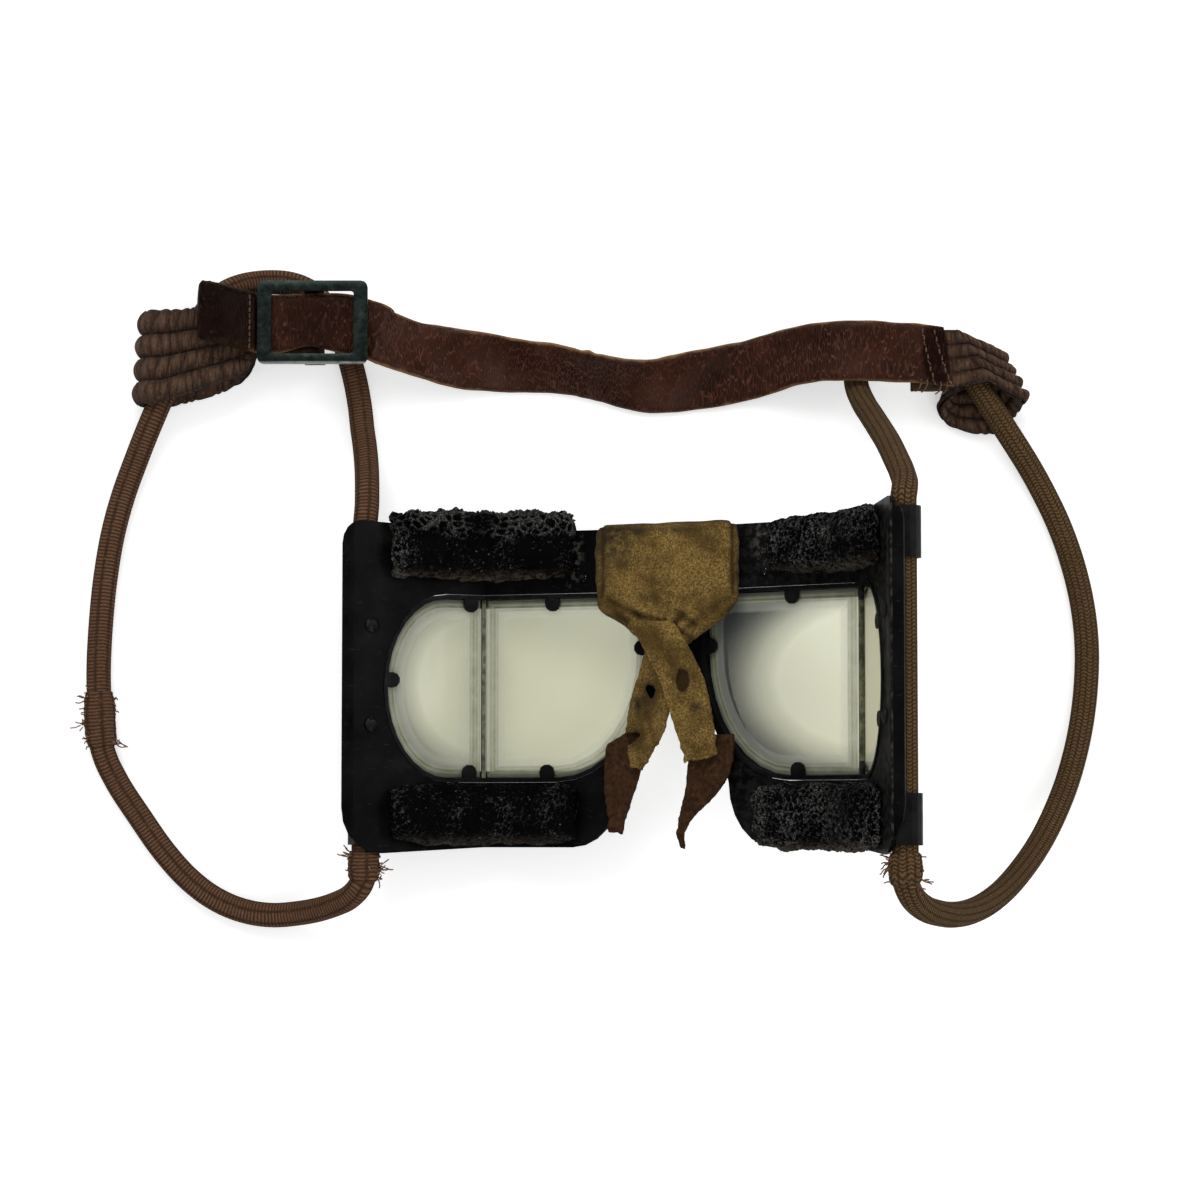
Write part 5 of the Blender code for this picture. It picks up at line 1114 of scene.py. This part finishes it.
def hung(name, place, down, low, high):
    """Moves a point of a tail's root to where the tail leaves the neck."""
    if name == "left_torn_tail":
        place.y += 0.0030 * max(0.0, 1 - down * 4) ** 2
    if name == "left_lining_tail":
        slope = 0.0036 - 0.0062 * (high.x - place.x) / (high.x - low.x)
        place.y += slope * max(0.0, 1 - down * 1.5)
    if name == "right_torn_tail":
        rise = max(0.0, 1 - down * 3.2) ** 1.5
        place.y += 0.0060 * rise
        place.x -= 0.0050 * rise
        over_neck = cushion.ray_cast(Vector((place.x, place.y, 0.08)), Vector((0, 0, -1)))[0]
        if over_neck and rise > 0.05:
            shown = (place.z - low.z) / (high.z - low.z)
            place.z = max(place.z, over_neck.z + 0.0006 * (shown - 0.3))


lining = finish("brown_lining_leather", (0.055, 0.025, 0.011), 0.75, shine=0.08)
fleck = cloudy(lining, 900, 6, 0.65)
browns = ((0.34, (0.020, 0.0085, 0.004)), (0.60, (0.058, 0.026, 0.011)), (0.80, (0.12, 0.060, 0.028)))
stain = patches(lining, 140, 4, (0.4, 0.0), (0.7, 0.6))
brown = layered(lining, stepped(lining, fleck, browns), (stain, (0.022, 0.010, 0.005)))
wire(lining, "Base Color", brown)
relief(lining, fleck, 0.00025, 0.8)
for name, solid, skin, holes, slot in (
    ("left_torn_tail", "left_chamois_flap", chamois, left_tail_holes, "chamois"),
    ("right_torn_tail", "right_chamois_flap", chamois, (), "chamois"),
    ("left_lining_tail", "left_under_flap", lining, (), "lining_leather"),
    ("right_lining_tail", "right_under_flap", lining, (), "lining_leather"),
):
    piece = soft_copy(name, solid, 0.00032, skin, 2, [hole_cutter(*hole) for hole in holes])
    low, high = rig.box(solid)
    crease_shade = []
    for vert in piece.data.vertices:
        place = vert.co
        down = (high.y - place.y) / (high.y - low.y)
        ripple = noise.noise(Vector((place.x * 300 + place.y * 90, place.y * 70, 2.0))) * 0.0009
        hung(name, place, down, low, high)
        hole_painted_shade = 0.0
        # The right tail's hole is not cut: it is a dent painted dark, a painted shade in place of the hole.
        if name == "right_torn_tail":
            off = place.to_2d() - right_hole_centre
            off = Vector((off.x / right_hole_reach[0], off.y / right_hole_reach[1])).length
            hole_painted_shade = 1.0 if off < 1 else 0.0
            ripple += 0.0006 * bell(off - 1.35, 0.4) - 0.0008 * hole_painted_shade
        ragged_edge = Vector((noise.noise(place * 700), noise.noise(place * 700 + Vector((9, 0, 0))), 0))
        hem = max(0.0, 1 - (place.y - low.y) / 0.010)
        vert.co = place + Vector((0, 0, ripple)) + ragged_edge * 0.0004 * (0.4 + hem)
        torn = 0.0
        for x, y, width, height, _, _ in holes:
            off = Vector((place.x - x, place.y - y)).length / (max(width, height) * 0.95)
            torn = max(torn, 1.1 - off)
        # Ripple troughs are painted darker as painted shade, and the skin is darker round the holes.
        crease_shade.append(clamped(max(0.1 if holes else 0.0, torn, hole_painted_shade, -ripple * 1600 - 0.15), 0.0, 0.9))
    mark(piece, "crease", crease_shade)
    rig.ride(piece, "frame_body")
    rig.replaces(piece, solid)
    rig.slot(piece, slot)


# The headband's end panels are brown cotton, gathered over four close coil springs that lie in
# sewn channels, so that each row stands in puffs. Each panel folds round the cord.
# A row of its course is its upper and its lower edge in millimetres and its fullness.
left_panel_course = (
    (-69.25, 66.20, 9.95, -69.25, 52.40, 9.95, 0.0), (-79.55, 66.20, 9.95, -79.55, 52.40, 9.95, 0.0),
    (-80.87, 65.52, 10.27, -81.23, 49.18, 10.27, 0.4), (-82.78, 64.98, 10.70, -83.34, 47.44, 10.70, 0.8),
    (-85.75, 64.43, 11.56, -86.49, 45.83, 11.56, 1.0), (-89.05, 63.96, 12.10, -89.95, 44.46, 12.10, 1.0),
    (-92.35, 63.48, 12.10, -93.37, 43.35, 12.10, 1.0), (-95.65, 63.14, 12.10, -96.80, 42.23, 12.10, 1.0),
    (-98.95, 62.80, 12.10, -100.22, 41.12, 12.10, 1.0), (-102.25, 62.80, 12.10, -103.65, 40.00, 12.10, 1.0),
    (-104.16, 62.80, 11.72, -105.56, 40.00, 11.72, 1.0), (-105.79, 62.80, 10.64, -107.19, 40.00, 10.64, 1.0),
    (-106.87, 62.80, 9.01, -108.27, 40.00, 9.01, 1.0), (-107.25, 62.80, 7.10, -108.65, 40.00, 7.10, 1.0),
    (-106.87, 62.80, 5.19, -108.27, 40.00, 5.19, 1.0), (-105.79, 62.80, 3.56, -107.19, 40.00, 3.56, 1.0),
    (-104.16, 62.80, 2.48, -105.56, 40.00, 2.48, 1.0), (-102.25, 62.80, 2.10, -103.65, 40.00, 2.10, 1.0),
    (-98.95, 62.80, 2.10, -100.27, 40.74, 2.10, 1.0), (-94.99, 63.14, 2.10, -96.19, 41.74, 2.10, 1.0),
    (-91.03, 63.62, 2.10, -92.11, 42.85, 2.10, 1.0), (-87.40, 64.09, 2.10, -88.32, 44.22, 2.10, 1.0),
    (-84.43, 64.50, 2.73, -85.19, 45.70, 2.73, 1.0), (-82.29, 64.98, 4.60, -82.87, 47.19, 4.60, 0.6),
    (-80.80, 65.52, 6.79, -81.16, 49.18, 6.79, 0.3), (-79.55, 66.20, 8.35, -79.55, 52.40, 8.35, 0.0),
    (-69.25, 66.20, 8.35, -69.25, 52.40, 8.35, 0.0),
)
right_panel_course = (
    (86.50, 57.89, 12.10, 86.50, 44.09, 12.10, 0.0), (91.67, 57.89, 12.10, 91.74, 43.87, 12.10, 0.0),
    (92.24, 57.78, 12.10, 94.10, 44.31, 12.10, 0.6), (92.68, 57.67, 12.10, 96.76, 44.75, 12.10, 1.0),
    (92.86, 57.56, 12.10, 99.27, 45.41, 12.10, 1.0), (96.68, 55.75, 11.72, 103.00, 43.52, 11.72, 1.0),
    (99.92, 54.22, 10.64, 106.16, 41.91, 10.64, 1.0), (102.08, 53.19, 9.01, 108.27, 40.84, 9.01, 1.0),
    (102.84, 52.83, 7.10, 109.02, 40.46, 7.10, 1.0), (102.44, 52.50, 5.19, 108.70, 40.01, 5.19, 1.0),
    (101.31, 51.54, 3.56, 107.82, 38.72, 3.56, 1.0), (99.61, 50.12, 2.48, 106.49, 36.80, 2.48, 1.0),
    (97.62, 48.43, 2.10, 104.93, 34.52, 2.10, 1.0), (95.05, 47.99, 2.10, 98.66, 33.64, 2.10, 1.0),
    (92.77, 46.23, 2.10, 90.68, 36.17, 2.10, 0.9), (91.63, 46.34, 4.12, 88.40, 39.25, 4.12, 0.5),
    (91.91, 46.78, 6.30, 90.11, 41.67, 6.30, 0.2), (92.39, 47.77, 9.16, 92.29, 42.99, 9.16, 0.0),
    (91.34, 50.41, 10.50, 91.54, 43.65, 10.50, 0.0), (86.50, 51.51, 10.50, 86.50, 44.09, 10.50, 0.0),
)
ruched = finish("gathered_brown_cotton", (0.07, 0.034, 0.019), 0.92, shine=0.05)
ruched.node_tree.nodes["Principled BSDF"].inputs["Sheen Weight"].default_value = 0.08
across_mm, along_mm = course_of(ruched)
warp = calculated(ruched, "SINE", times(ruched, across_mm, 12.0))
weft = calculated(ruched, "SINE", times(ruched, along_mm, 9.0))
weave = calculated(ruched, "MULTIPLY_ADD", times(ruched, warp, weft), 0.5, 0.5)
drawn = add(ruched, "ShaderNodeCombineXYZ", {0: times(ruched, across_mm, 0.16), 1: along_mm, 2: 0.0})
gathers = cloudy(ruched, 1.5, 5, 0.62, drawn.outputs[0])
lint = cloudy(ruched, 1400, 5, 0.65)
browns = ((0.05, (0.010, 0.0045, 0.003)), (0.45, (0.055, 0.027, 0.015)), (0.95, (0.130, 0.072, 0.044)))
# The puffs' crests are painted lighter, partly worn, and the valleys and fine gathers are painted dark as painted
# shade.
brown = layered(
    ruched,
    stepped(ruched, marked(ruched, "crest"), browns),
    (patches(ruched, 110, 4, (0.38, 0.0), (0.7, 0.5)), (0.065, 0.030, 0.018)),
    (stepped(ruched, lint, ((0.52, 0.0), (0.75, 0.55))), (0.24, 0.16, 0.115)),
    (times(ruched, weave, 0.25), (0.030, 0.014, 0.008)),
    (stepped(ruched, gathers, ((0.36, 0.75), (0.56, 0.0))), (0.012, 0.006, 0.004)),
)
wire(ruched, "Base Color", brown)
first = relief(ruched, weave, 0.0001, 0.6)
second = relief(ruched, gathers, 0.0011, 0.8, first)
relief(ruched, lint, 0.0002, 0.7, second)
channels = 4
puff_length = 0.0027
cloth_thickness = 0.0003
flat_under_tail = 0.75


def gathered_cloth(name, course, direction, outer):
    """One layer of a panel, puffed out over the springs; outer is its ruched side."""
    rows = []
    for row in even_line(course, 0.00045):
        rows.append((Vector(row[0:3]), Vector(row[3:6]), clamped(row[6] * 1000)))
    count = len(rows) - 1
    gone = [0.0]
    for before, after in zip(rows, rows[1:]):
        gone.append(gone[-1] + ((after[0] + after[1]) / 2 - (before[0] + before[1]) / 2).length)
    faces = []
    for k, (top, low, _) in enumerate(rows):
        before, after = rows[max(k - 1, 0)], rows[min(k + 1, count)]
        across = top - low
        faces.append([((after[e] - before[e]).cross(across) * direction).normalized() for e in (0, 1)])
    sign = 1 if outer else -1
    crests = {}

    def key_of(point):
        return tuple(round(value, 6) for value in point)

    def place(share, way):
        k = round(way * count)
        top, low, full = rows[k]
        row, part = divmod(min(share * channels, channels - 0.0001), 1)
        lobe = math.sin(math.pi * part) ** 0.62
        uneven = noise.noise(Vector((gone[k] * 190, row * 7.3, 1.7)))
        beat = gone[k] / puff_length + 0.37 * row + 1.25 * uneven
        beat += (0.35 if int(row) % 2 else -0.35) * (part - 0.5)
        puff = abs(math.sin(math.pi * beat)) ** 0.7
        size = 0.85 + 0.60 * noise.noise(Vector((math.floor(beat) * 3.1, row * 5.7, 0.4)))
        spot = low.lerp(top, share)
        under_tail = name.startswith("left") and spot.y > 0.0505 and clamped((spot.x + 0.0945) / 0.0030)
        if outer:
            swell = (0.00085 + 0.00105 * puff * size) * (1 - flat_under_tail * under_tail)
        else:
            swell = 0.0009 + 0.0003 * puff
        rise = 0.00025 + full * lobe * swell
        face = faces[k][1].lerp(faces[k][0], share).normalized()
        pull = (puff - 0.6) * 0.0005 * full if share in (0.0, 1.0) and outer else 0.0
        pull = (top - low).normalized() * pull * (1 if share == 1 else -1)
        point = spot + face * sign * rise + pull
        crests[key_of(point)] = min(1.0, lobe * (0.25 + 0.75 * puff))
        return point

    width = (rows[count // 2][0] - rows[count // 2][1]).length
    piece = laid_grid(name, 44, count, place, ruched, uv_size=(width * 1000, gone[-1] * 1000))
    mark(piece, "crest", [crests.get(key_of(vert.co), 0.5) for vert in piece.data.vertices])
    return piece, width


for side, course, direction, body, ends in (
    ("left", left_panel_course, -1, "buckle_anchor", ((-0.0790, 0.058, 0.009), (-0.1000, 0.052, 0.009))),
    ("right", right_panel_course, 1, "strap", ((0.0930, 0.050, 0.011), (0.1010, 0.045, 0.011))),
):
    for kind, outer in (("ruched_cloth", True), ("lining", False)):
        piece, width = gathered_cloth(f"{side}_gathered_{kind}", course, direction, outer)
        area = sum(face.area for face in piece.data.polygons)
        thick = piece.modifiers.new("cloth", "SOLIDIFY")
        thick.thickness = cloth_thickness
        thick.offset = 0.0
        worked(piece)
        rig.sheet(
            piece,
            flat=(width * 1.2, area / (width * 1.2)),
            held="gathered",
            rests_on=[f"{side}_panel_spring_1", f"{side}_panel_spring_4"],
        )
        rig.blend(piece, body, "frame_body", *ends)
        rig.replaces(piece, f"{side}_panel_{kind}")
        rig.slot(piece, "ruched_cloth")


# The springs are close-wound steel wire, four to a panel, each in its own sewn channel.
# Little of them shows inside the panels, where handling keeps the wire bright.
coil_steel = finish("spring_wire", (0.30, 0.28, 0.25), 0.35, 1.0)
wire(coil_steel, "Roughness", patches(coil_steel, 800, 4, (0.3, 0.25), (0.7, 0.6)))
for side in ("left", "right"):
    for number in range(1, channels + 1):
        dressed(f"{side}_panel_spring_{number}", coil_steel)


# The strap is a strip of dark brown bridle leather, crackled and rubbed to bare tan at its edges.
# Its free end is doubled back outside the buckle; its right end is sewn over the right panel.
# A row of its course is the middle of its width in millimetres and its lean in degrees.
strap_course = (
    (-79.85, 59.30, 15.18, 0.0), (-83.30, 59.30, 16.93, 0.0), (-86.98, 59.30, 18.68, 0.0),
    (-90.20, 59.30, 19.51, 0.0), (-91.35, 59.30, 19.60, 0.0), (-92.09, 59.30, 19.29, 0.0),
    (-92.40, 59.30, 18.55, 0.0), (-92.09, 59.30, 17.81, 0.0), (-91.35, 59.30, 17.50, 0.0),
    (-90.20, 59.30, 17.41, 0.0), (-86.98, 59.30, 16.58, 0.0), (-83.30, 59.30, 14.83, 0.0),
    (-79.85, 59.30, 13.08, 0.0), (-75.55, 59.30, 12.90, 0.0), (-69.56, 59.32, 12.90, 0.0),
    (-63.56, 59.33, 12.93, 0.1), (-57.58, 59.39, 13.05, 0.6), (-51.84, 57.89, 12.42, -1.5),
    (-46.62, 55.49, 10.76, -13.0), (-41.34, 53.84, 8.48, -14.2), (-35.79, 52.67, 6.56, -7.5),
    (-29.99, 51.80, 5.36, 4.7), (-24.07, 51.11, 4.70, 18.3), (-18.12, 50.44, 4.51, 28.7),
    (-12.18, 49.93, 5.02, 36.4), (-6.26, 49.32, 5.73, 42.2), (-0.38, 48.23, 6.07, 46.0),
    (5.47, 46.93, 6.12, 46.7), (11.31, 45.68, 5.63, 40.7), (17.22, 45.09, 4.87, 32.3),
    (23.06, 45.73, 3.75, 22.6), (28.87, 46.85, 2.78, 13.6), (34.76, 47.90, 2.43, 8.1),
    (40.63, 49.05, 2.70, 4.8), (46.17, 50.39, 4.46, 2.1), (51.31, 51.74, 7.23, 0.5),
    (56.63, 52.45, 9.89, -0.3), (61.99, 52.54, 12.55, -0.1), (67.70, 52.47, 14.32, 0.0),
    (73.67, 52.30, 14.68, 0.0), (79.66, 52.00, 14.55, 0.0), (85.63, 51.54, 14.57, 0.0),
    (91.60, 50.99, 14.55, 0.0),
)
strap_width = 0.0143
strap_thickness = 0.0017
strap_rows = [(Vector(row[0:3]), row[3] * 1000) for row in even_line(strap_course, 0.0005)]
strap_steps = len(strap_rows) - 1
strap_frames = []
for k, (middle, lean) in enumerate(strap_rows):
    tilt = math.radians(lean)
    along = (strap_rows[min(k + 1, strap_steps)][0] - strap_rows[max(k - 1, 0)][0]).normalized()
    across = (Vector((0, 1, 0)) - along * along.y).normalized()
    up = along.cross(across)
    wide = across * math.cos(tilt) + up * math.sin(tilt)
    strap_frames.append((middle, wide, up * math.cos(tilt) - across * math.sin(tilt)))
strap_gone = [0.0]
for (before, _), (after, _) in zip(strap_rows, strap_rows[1:]):
    strap_gone.append(strap_gone[-1] + (after - before).length)
crease_x = 0.0010
tail_end_x = -0.0785
in_buckle_x = -0.0665
bar_side_x = -0.0537
sewn_end_x = 0.0800


def strap_surface(way, across, up):
    """A point on the strap: way from 0 to 1, across and up in shares of its half sizes."""
    k = round(clamped(way) * strap_steps)
    middle, wide, thick = strap_frames[k]
    gone = strap_gone[k]
    edge_wave = noise.noise(Vector((gone * 170, across * 2, 0.3))) * 0.00028 * across
    crease = bell(middle.x - crease_x, 0.0022) * math.cos((middle.x - crease_x) * 1500)
    cup = 0.0004 * (across * across - 0.4) * (0 if abs(middle.x + 0.066) < 0.018 else 1)
    wrinkle = noise.noise(Vector((gone * 420, across * 1.4, 5.1))) * 0.00010
    thin = 1 - 0.55 * max(0.0, (abs(across) - 0.86) / 0.14) ** 2
    folded = clamped((tail_end_x - middle.x) / 0.0139)
    frayed = folded**3 * noise.noise(Vector((gone * 1100, across, 0.0))) * 0.0009
    sideways = across * strap_width / 2 + edge_wave + 0.0026 * folded + frayed
    sideways += 0.0016 * bell(middle.x - in_buckle_x, 0.0048) * max(0.0, -across) ** 3
    height = up * thin * strap_thickness / 2 + cup + wrinkle - 0.0005 * crease * (0.4 + across * 0.6)
    slant = 0.0036 * max(0.0, (middle.x - sewn_end_x) / 0.0116) * (across + 1) / 2
    pinched = 0.0006 * bell(middle.x - bar_side_x, 0.0034)
    pinched += 0.0021 * bell(middle.x - bar_side_x - 0.0023, 0.0034) * max(0.0, -across)
    return middle + wide * sideways + thick * height - Vector((slant, 0, pinched))


def strap_skin(share, way):
    """Round the strap's section: its under side, one edge, its upper side, the other edge."""
    if share < 0.45:
        return strap_surface(way, -1 + 2 * share / 0.45, -1)
    if share < 0.5:
        bend = (share - 0.45) / 0.05 * math.pi
        return strap_surface(way, 1 + 0.03 * math.sin(bend), -math.cos(bend))
    if share < 0.95:
        return strap_surface(way, 1 - 2 * (share - 0.5) / 0.45, 1)
    bend = (min(share, 1.0) - 0.95) / 0.05 * math.pi
    return strap_surface(way, -1 - 0.03 * math.sin(bend), math.cos(bend))


def leather_finish(name, dark, mid, light, cracks=1.0):
    """Crackled leather; the crack lines show the lighter leather under the surface."""
    material = finish(name, mid, 0.4, shine=0.14)
    source = place_of(material)
    wander = add(material, "ShaderNodeTexNoise", {"Vector": source, "Scale": 300.0}).outputs["Color"]
    warped = {"Fac": 0.0012, "Color1": source, "Color2": wander}
    warped = add(material, "ShaderNodeMixRGB", warped, blend_type="ADD").outputs[0]
    squeezed = {"Vector": warped, "Scale": (2.3, 0.42, 1.0)}
    cells = {"Vector": add(material, "ShaderNodeMapping", squeezed).outputs[0], "Scale": 700.0}
    cells = add(material, "ShaderNodeTexVoronoi", cells, feature="DISTANCE_TO_EDGE").outputs["Distance"]
    crack = stepped(material, cells, ((0.0, 1.0), (0.11, 0.0)))
    crack = times(material, crack, patches(material, 130, 5, (0.34, 0.0), (0.52, 1.0)))
    crack = times(material, crack, cracks)
    grain = cloudy(material, 1300, 5, 0.6)
    colour = layered(
        material,
        stepped(material, cloudy(material, 75, 6, 0.6), ((0.32, dark), (0.55, mid), (0.78, light))),
        (stepped(material, grain, ((0.60, 0.0), (0.8, 0.35))), toned(light, 1.6)),
        (times(material, crack, 0.75), toned(light, 1.5)),
    )
    wire(material, "Base Color", colour)
    first = relief(material, crack, -0.00018, 0.8)
    relief(material, grain, 0.00012, 0.6, first)
    return material, colour


strap_leather, colour = leather_finish(
    "strap_bridle_leather", (0.010, 0.0035, 0.0018), (0.034, 0.0105, 0.0055), (0.075, 0.026, 0.014)
)
share, _ = course_of(strap_leather)
rim = calculated(strap_leather, "PINGPONG", calculated(strap_leather, "SUBTRACT", share, 0.475), 0.25)
ragged = times(strap_leather, cloudy(strap_leather, 330, 5), 0.045)
rim = stepped(strap_leather, calculated(strap_leather, "ADD", rim, ragged), ((0.036, 1.0), (0.062, 0.0)))
suede = near_spot(strap_leather, (-0.0862, 0.0530, 0.0175), (0.0085, 0.0026, 0.006), 0.5)
suede = times(strap_leather, suede, patches(strap_leather, 700, 5, (0.36, 0.2), (0.55, 1.0)))
# Painted shade: the doubled-back tail, the strap under the buckle and the sewn right end are painted near black, with
# less shine.
strap_painted_shade = spots(
    strap_leather,
    ((-0.0872, 0.0605, 0.0175), (0.0125, 0.0112, 0.020), 0.16, 0.86),
    ((0.0868, 0.0515, 0.0155), (0.0040, 0.0120, 0.006), 0.3, 0.75),
    ((-0.0655, 0.0593, 0.013), (0.011, 0.008, 0.006), 0.5, 0.5),
)
colour = layered(
    strap_leather,
    colour,
    (rim, (0.25, 0.14, 0.065)),
    (suede, (0.13, 0.068, 0.028)),
    (strap_painted_shade, (0.0035, 0.0015, 0.0012)),
)
wire(strap_leather, "Base Color", colour)
wire(strap_leather, "Roughness", stepped(strap_leather, rim, ((0.0, 0.30), (1.0, 0.85))))
wire(strap_leather, "Specular IOR Level", stepped(strap_leather, strap_painted_shade, ((0.0, 0.14), (0.8, 0.06))))
piece = laid_grid("bridle_leather_strap", 40, strap_steps, strap_skin, strap_leather, True, (1, 10))
strap_bend = ((-0.020, 0.0500, 0.0050), (-0.060, 0.0500, 0.0050))
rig.blend(piece, "strap", "frame_body", *strap_bend)
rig.replaces(piece, "leather_strap")
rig.slot(piece, "strap_leather")


# Two slanting rows of linen thread hold the strap's right end to the panel and the patch under it,
# and one row closes the doubled-back free end. Four overcast stitches bind the sewn end's edge.
stitches_in_row = 9
thread_thickness = 0.00042
linen = finish("linen_thread", (0.11, 0.060, 0.034), 0.8, shine=0.2)
threads_tan = patches(linen, 900, 3, (0.35, (0.055, 0.028, 0.016)), (0.7, (0.19, 0.115, 0.070)))
wire(linen, "Base Color", threads_tan)


def sewn_way(x):
    """The way along the strap where its right half passes a place in x."""
    nearest = min(range(strap_steps // 2, strap_steps + 1), key=lambda k: abs(strap_rows[k][0].x - x))
    return nearest / strap_steps


end_stitches = []
for x in (0.0838, 0.0878):
    for number in range(stitches_in_row):
        across = 0.86 - number * 0.215
        stitch = []
        for step in (0.0, 0.35, 0.7, 1.0):
            spot = across - step * 0.15
            sunk = 0.00045 * abs(step - 0.5) - 0.00022
            way = sewn_way(x + (1 - spot) * 0.0016)
            stitch.append(strap_surface(way, spot, 1) - Vector((0, 0, sunk)))
        end_stitches.append(stitch)
for x in (0.0838, 0.0852, 0.0886, 0.0899):
    way = sewn_way(x)
    over_edge = strap_surface(way, -1.0, 1.0) + Vector((0, -0.0004, 0))
    stitch = [strap_surface(way, -0.90, 1) + Vector((0, 0, 0.0002)), over_edge]
    for outward in ((-0.0005, -0.0012, -0.0010), (-0.0012, -0.0016, -0.0022)):
        stitch.append(over_edge + Vector(outward))
    end_stitches.append(stitch)
tail_way = min(range(20), key=lambda k: abs(strap_rows[k][0].x + 0.0812)) / strap_steps
tail_stitches = []
for number in range(stitches_in_row):
    across = 0.84 - number * 0.21
    stitch = []
    for step in (0, 0.5, 1):
        sunk = 0.0004 * abs(step - 0.5) - 0.0003
        stitch.append(strap_surface(tail_way, across - step * 0.14, -1) - Vector((0, 0, sunk)))
    tail_stitches.append(stitch)
for name, stitches, body in (
    ("strap_end_stitches", end_stitches, "strap"),
    ("tail_stitches", tail_stitches, "frame_body"),
):
    piece = thread_bundle(name, stitches, thread_thickness, linen)
    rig.ride(piece, body)
    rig.slot(piece, "strap_leather")


# The loop that holds the buckle's pin and the patch behind the strap's right end are
# thinner leather, with the tan flesh side showing at their cut edges.
flesh, _ = leather_finish(
    "flesh_side_leather", (0.022, 0.011, 0.006), (0.050, 0.026, 0.013), (0.12, 0.070, 0.034), 0.3
)
loop_leather, _ = leather_finish(
    "loop_leather", (0.009, 0.0035, 0.002), (0.028, 0.009, 0.005), (0.060, 0.022, 0.012)
)
for name, solid, skin, body in (
    ("buckle_loop_leather", "left_leather_loop", loop_leather, "buckle_anchor"),
    ("right_end_flesh_patch", "right_end_patch", flesh, "strap"),
):
    piece = soft_copy(name, solid, 0.0003, skin, 3)
    for vert in piece.data.vertices:
        vert.co.z += noise.noise(vert.co * 330) * 0.00012
        vert.co.y += noise.noise(vert.co * 500 + Vector((3, 0, 0))) * 0.0002
    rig.ride(piece, body)
    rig.replaces(piece, solid)
    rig.slot(piece, "strap_leather")


# The buckle is a stamped steel slide on a round pin, its plating dulled to a grey green
# and its corners rounded by the press.
edge_round = 0.0003
sharpest = math.radians(40)
dull_steel = finish("dulled_buckle_steel", (0.050, 0.070, 0.062), 0.32, 0.85)
stain = cloudy(dull_steel, 420, 6, 0.65)
greens = ((0.30, (0.010, 0.015, 0.013)), (0.58, (0.030, 0.044, 0.038)), (0.82, (0.10, 0.125, 0.11)))
frame_low, frame_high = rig.box("buckle_frame")
# A bright band along the slide's lower edge is a painted highlight.
buckle_edge_highlight = near_spot(dull_steel, (-0.0655, frame_low.y, frame_high.z), (0.0300, 0.0007, 0.0020), 0.5)
buckle_edge_highlight = times(dull_steel, buckle_edge_highlight, 0.85)
steel = layered(dull_steel, stepped(dull_steel, stain, greens), (buckle_edge_highlight, (0.55, 0.58, 0.54)))
wire(dull_steel, "Base Color", steel)
wire(dull_steel, "Roughness", patches(dull_steel, 800, 5, (0.3, 0.22), (0.75, 0.5)))
relief(dull_steel, stain, 0.00008, 0.5)
for name, solid in (("pressed_buckle_slide", "buckle_frame"), ("buckle_centre_pin", "buckle_pin")):
    work = merged(solid)
    bmesh.ops.dissolve_limit(work, angle_limit=math.radians(1.5), verts=work.verts, edges=work.edges)
    corners = [edge for edge in work.edges if len(edge.link_faces) == 2 and edge.calc_face_angle() > sharpest]
    bmesh.ops.bevel(
        work,
        geom=corners,
        offset=edge_round,
        offset_type="OFFSET",
        affect="EDGES",
        segments=3,
        profile=0.5,
        material=-1,
        clamp_overlap=True,
    )
    piece = piece_from(name, work, dull_steel, True)
    piece.data.set_sharp_from_angle(angle=math.radians(35))
    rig.ride(piece, "buckle")
    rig.replaces(piece, solid)
    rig.slot(piece, "buckle_steel")


solid_size = [list(solid_low), list(solid_high)]
with open("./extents.json", "w") as sizes:
    shown_low, shown_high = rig.bounds()
    sizes.write(str([solid_size, [list(shown_low), list(shown_high)]]))
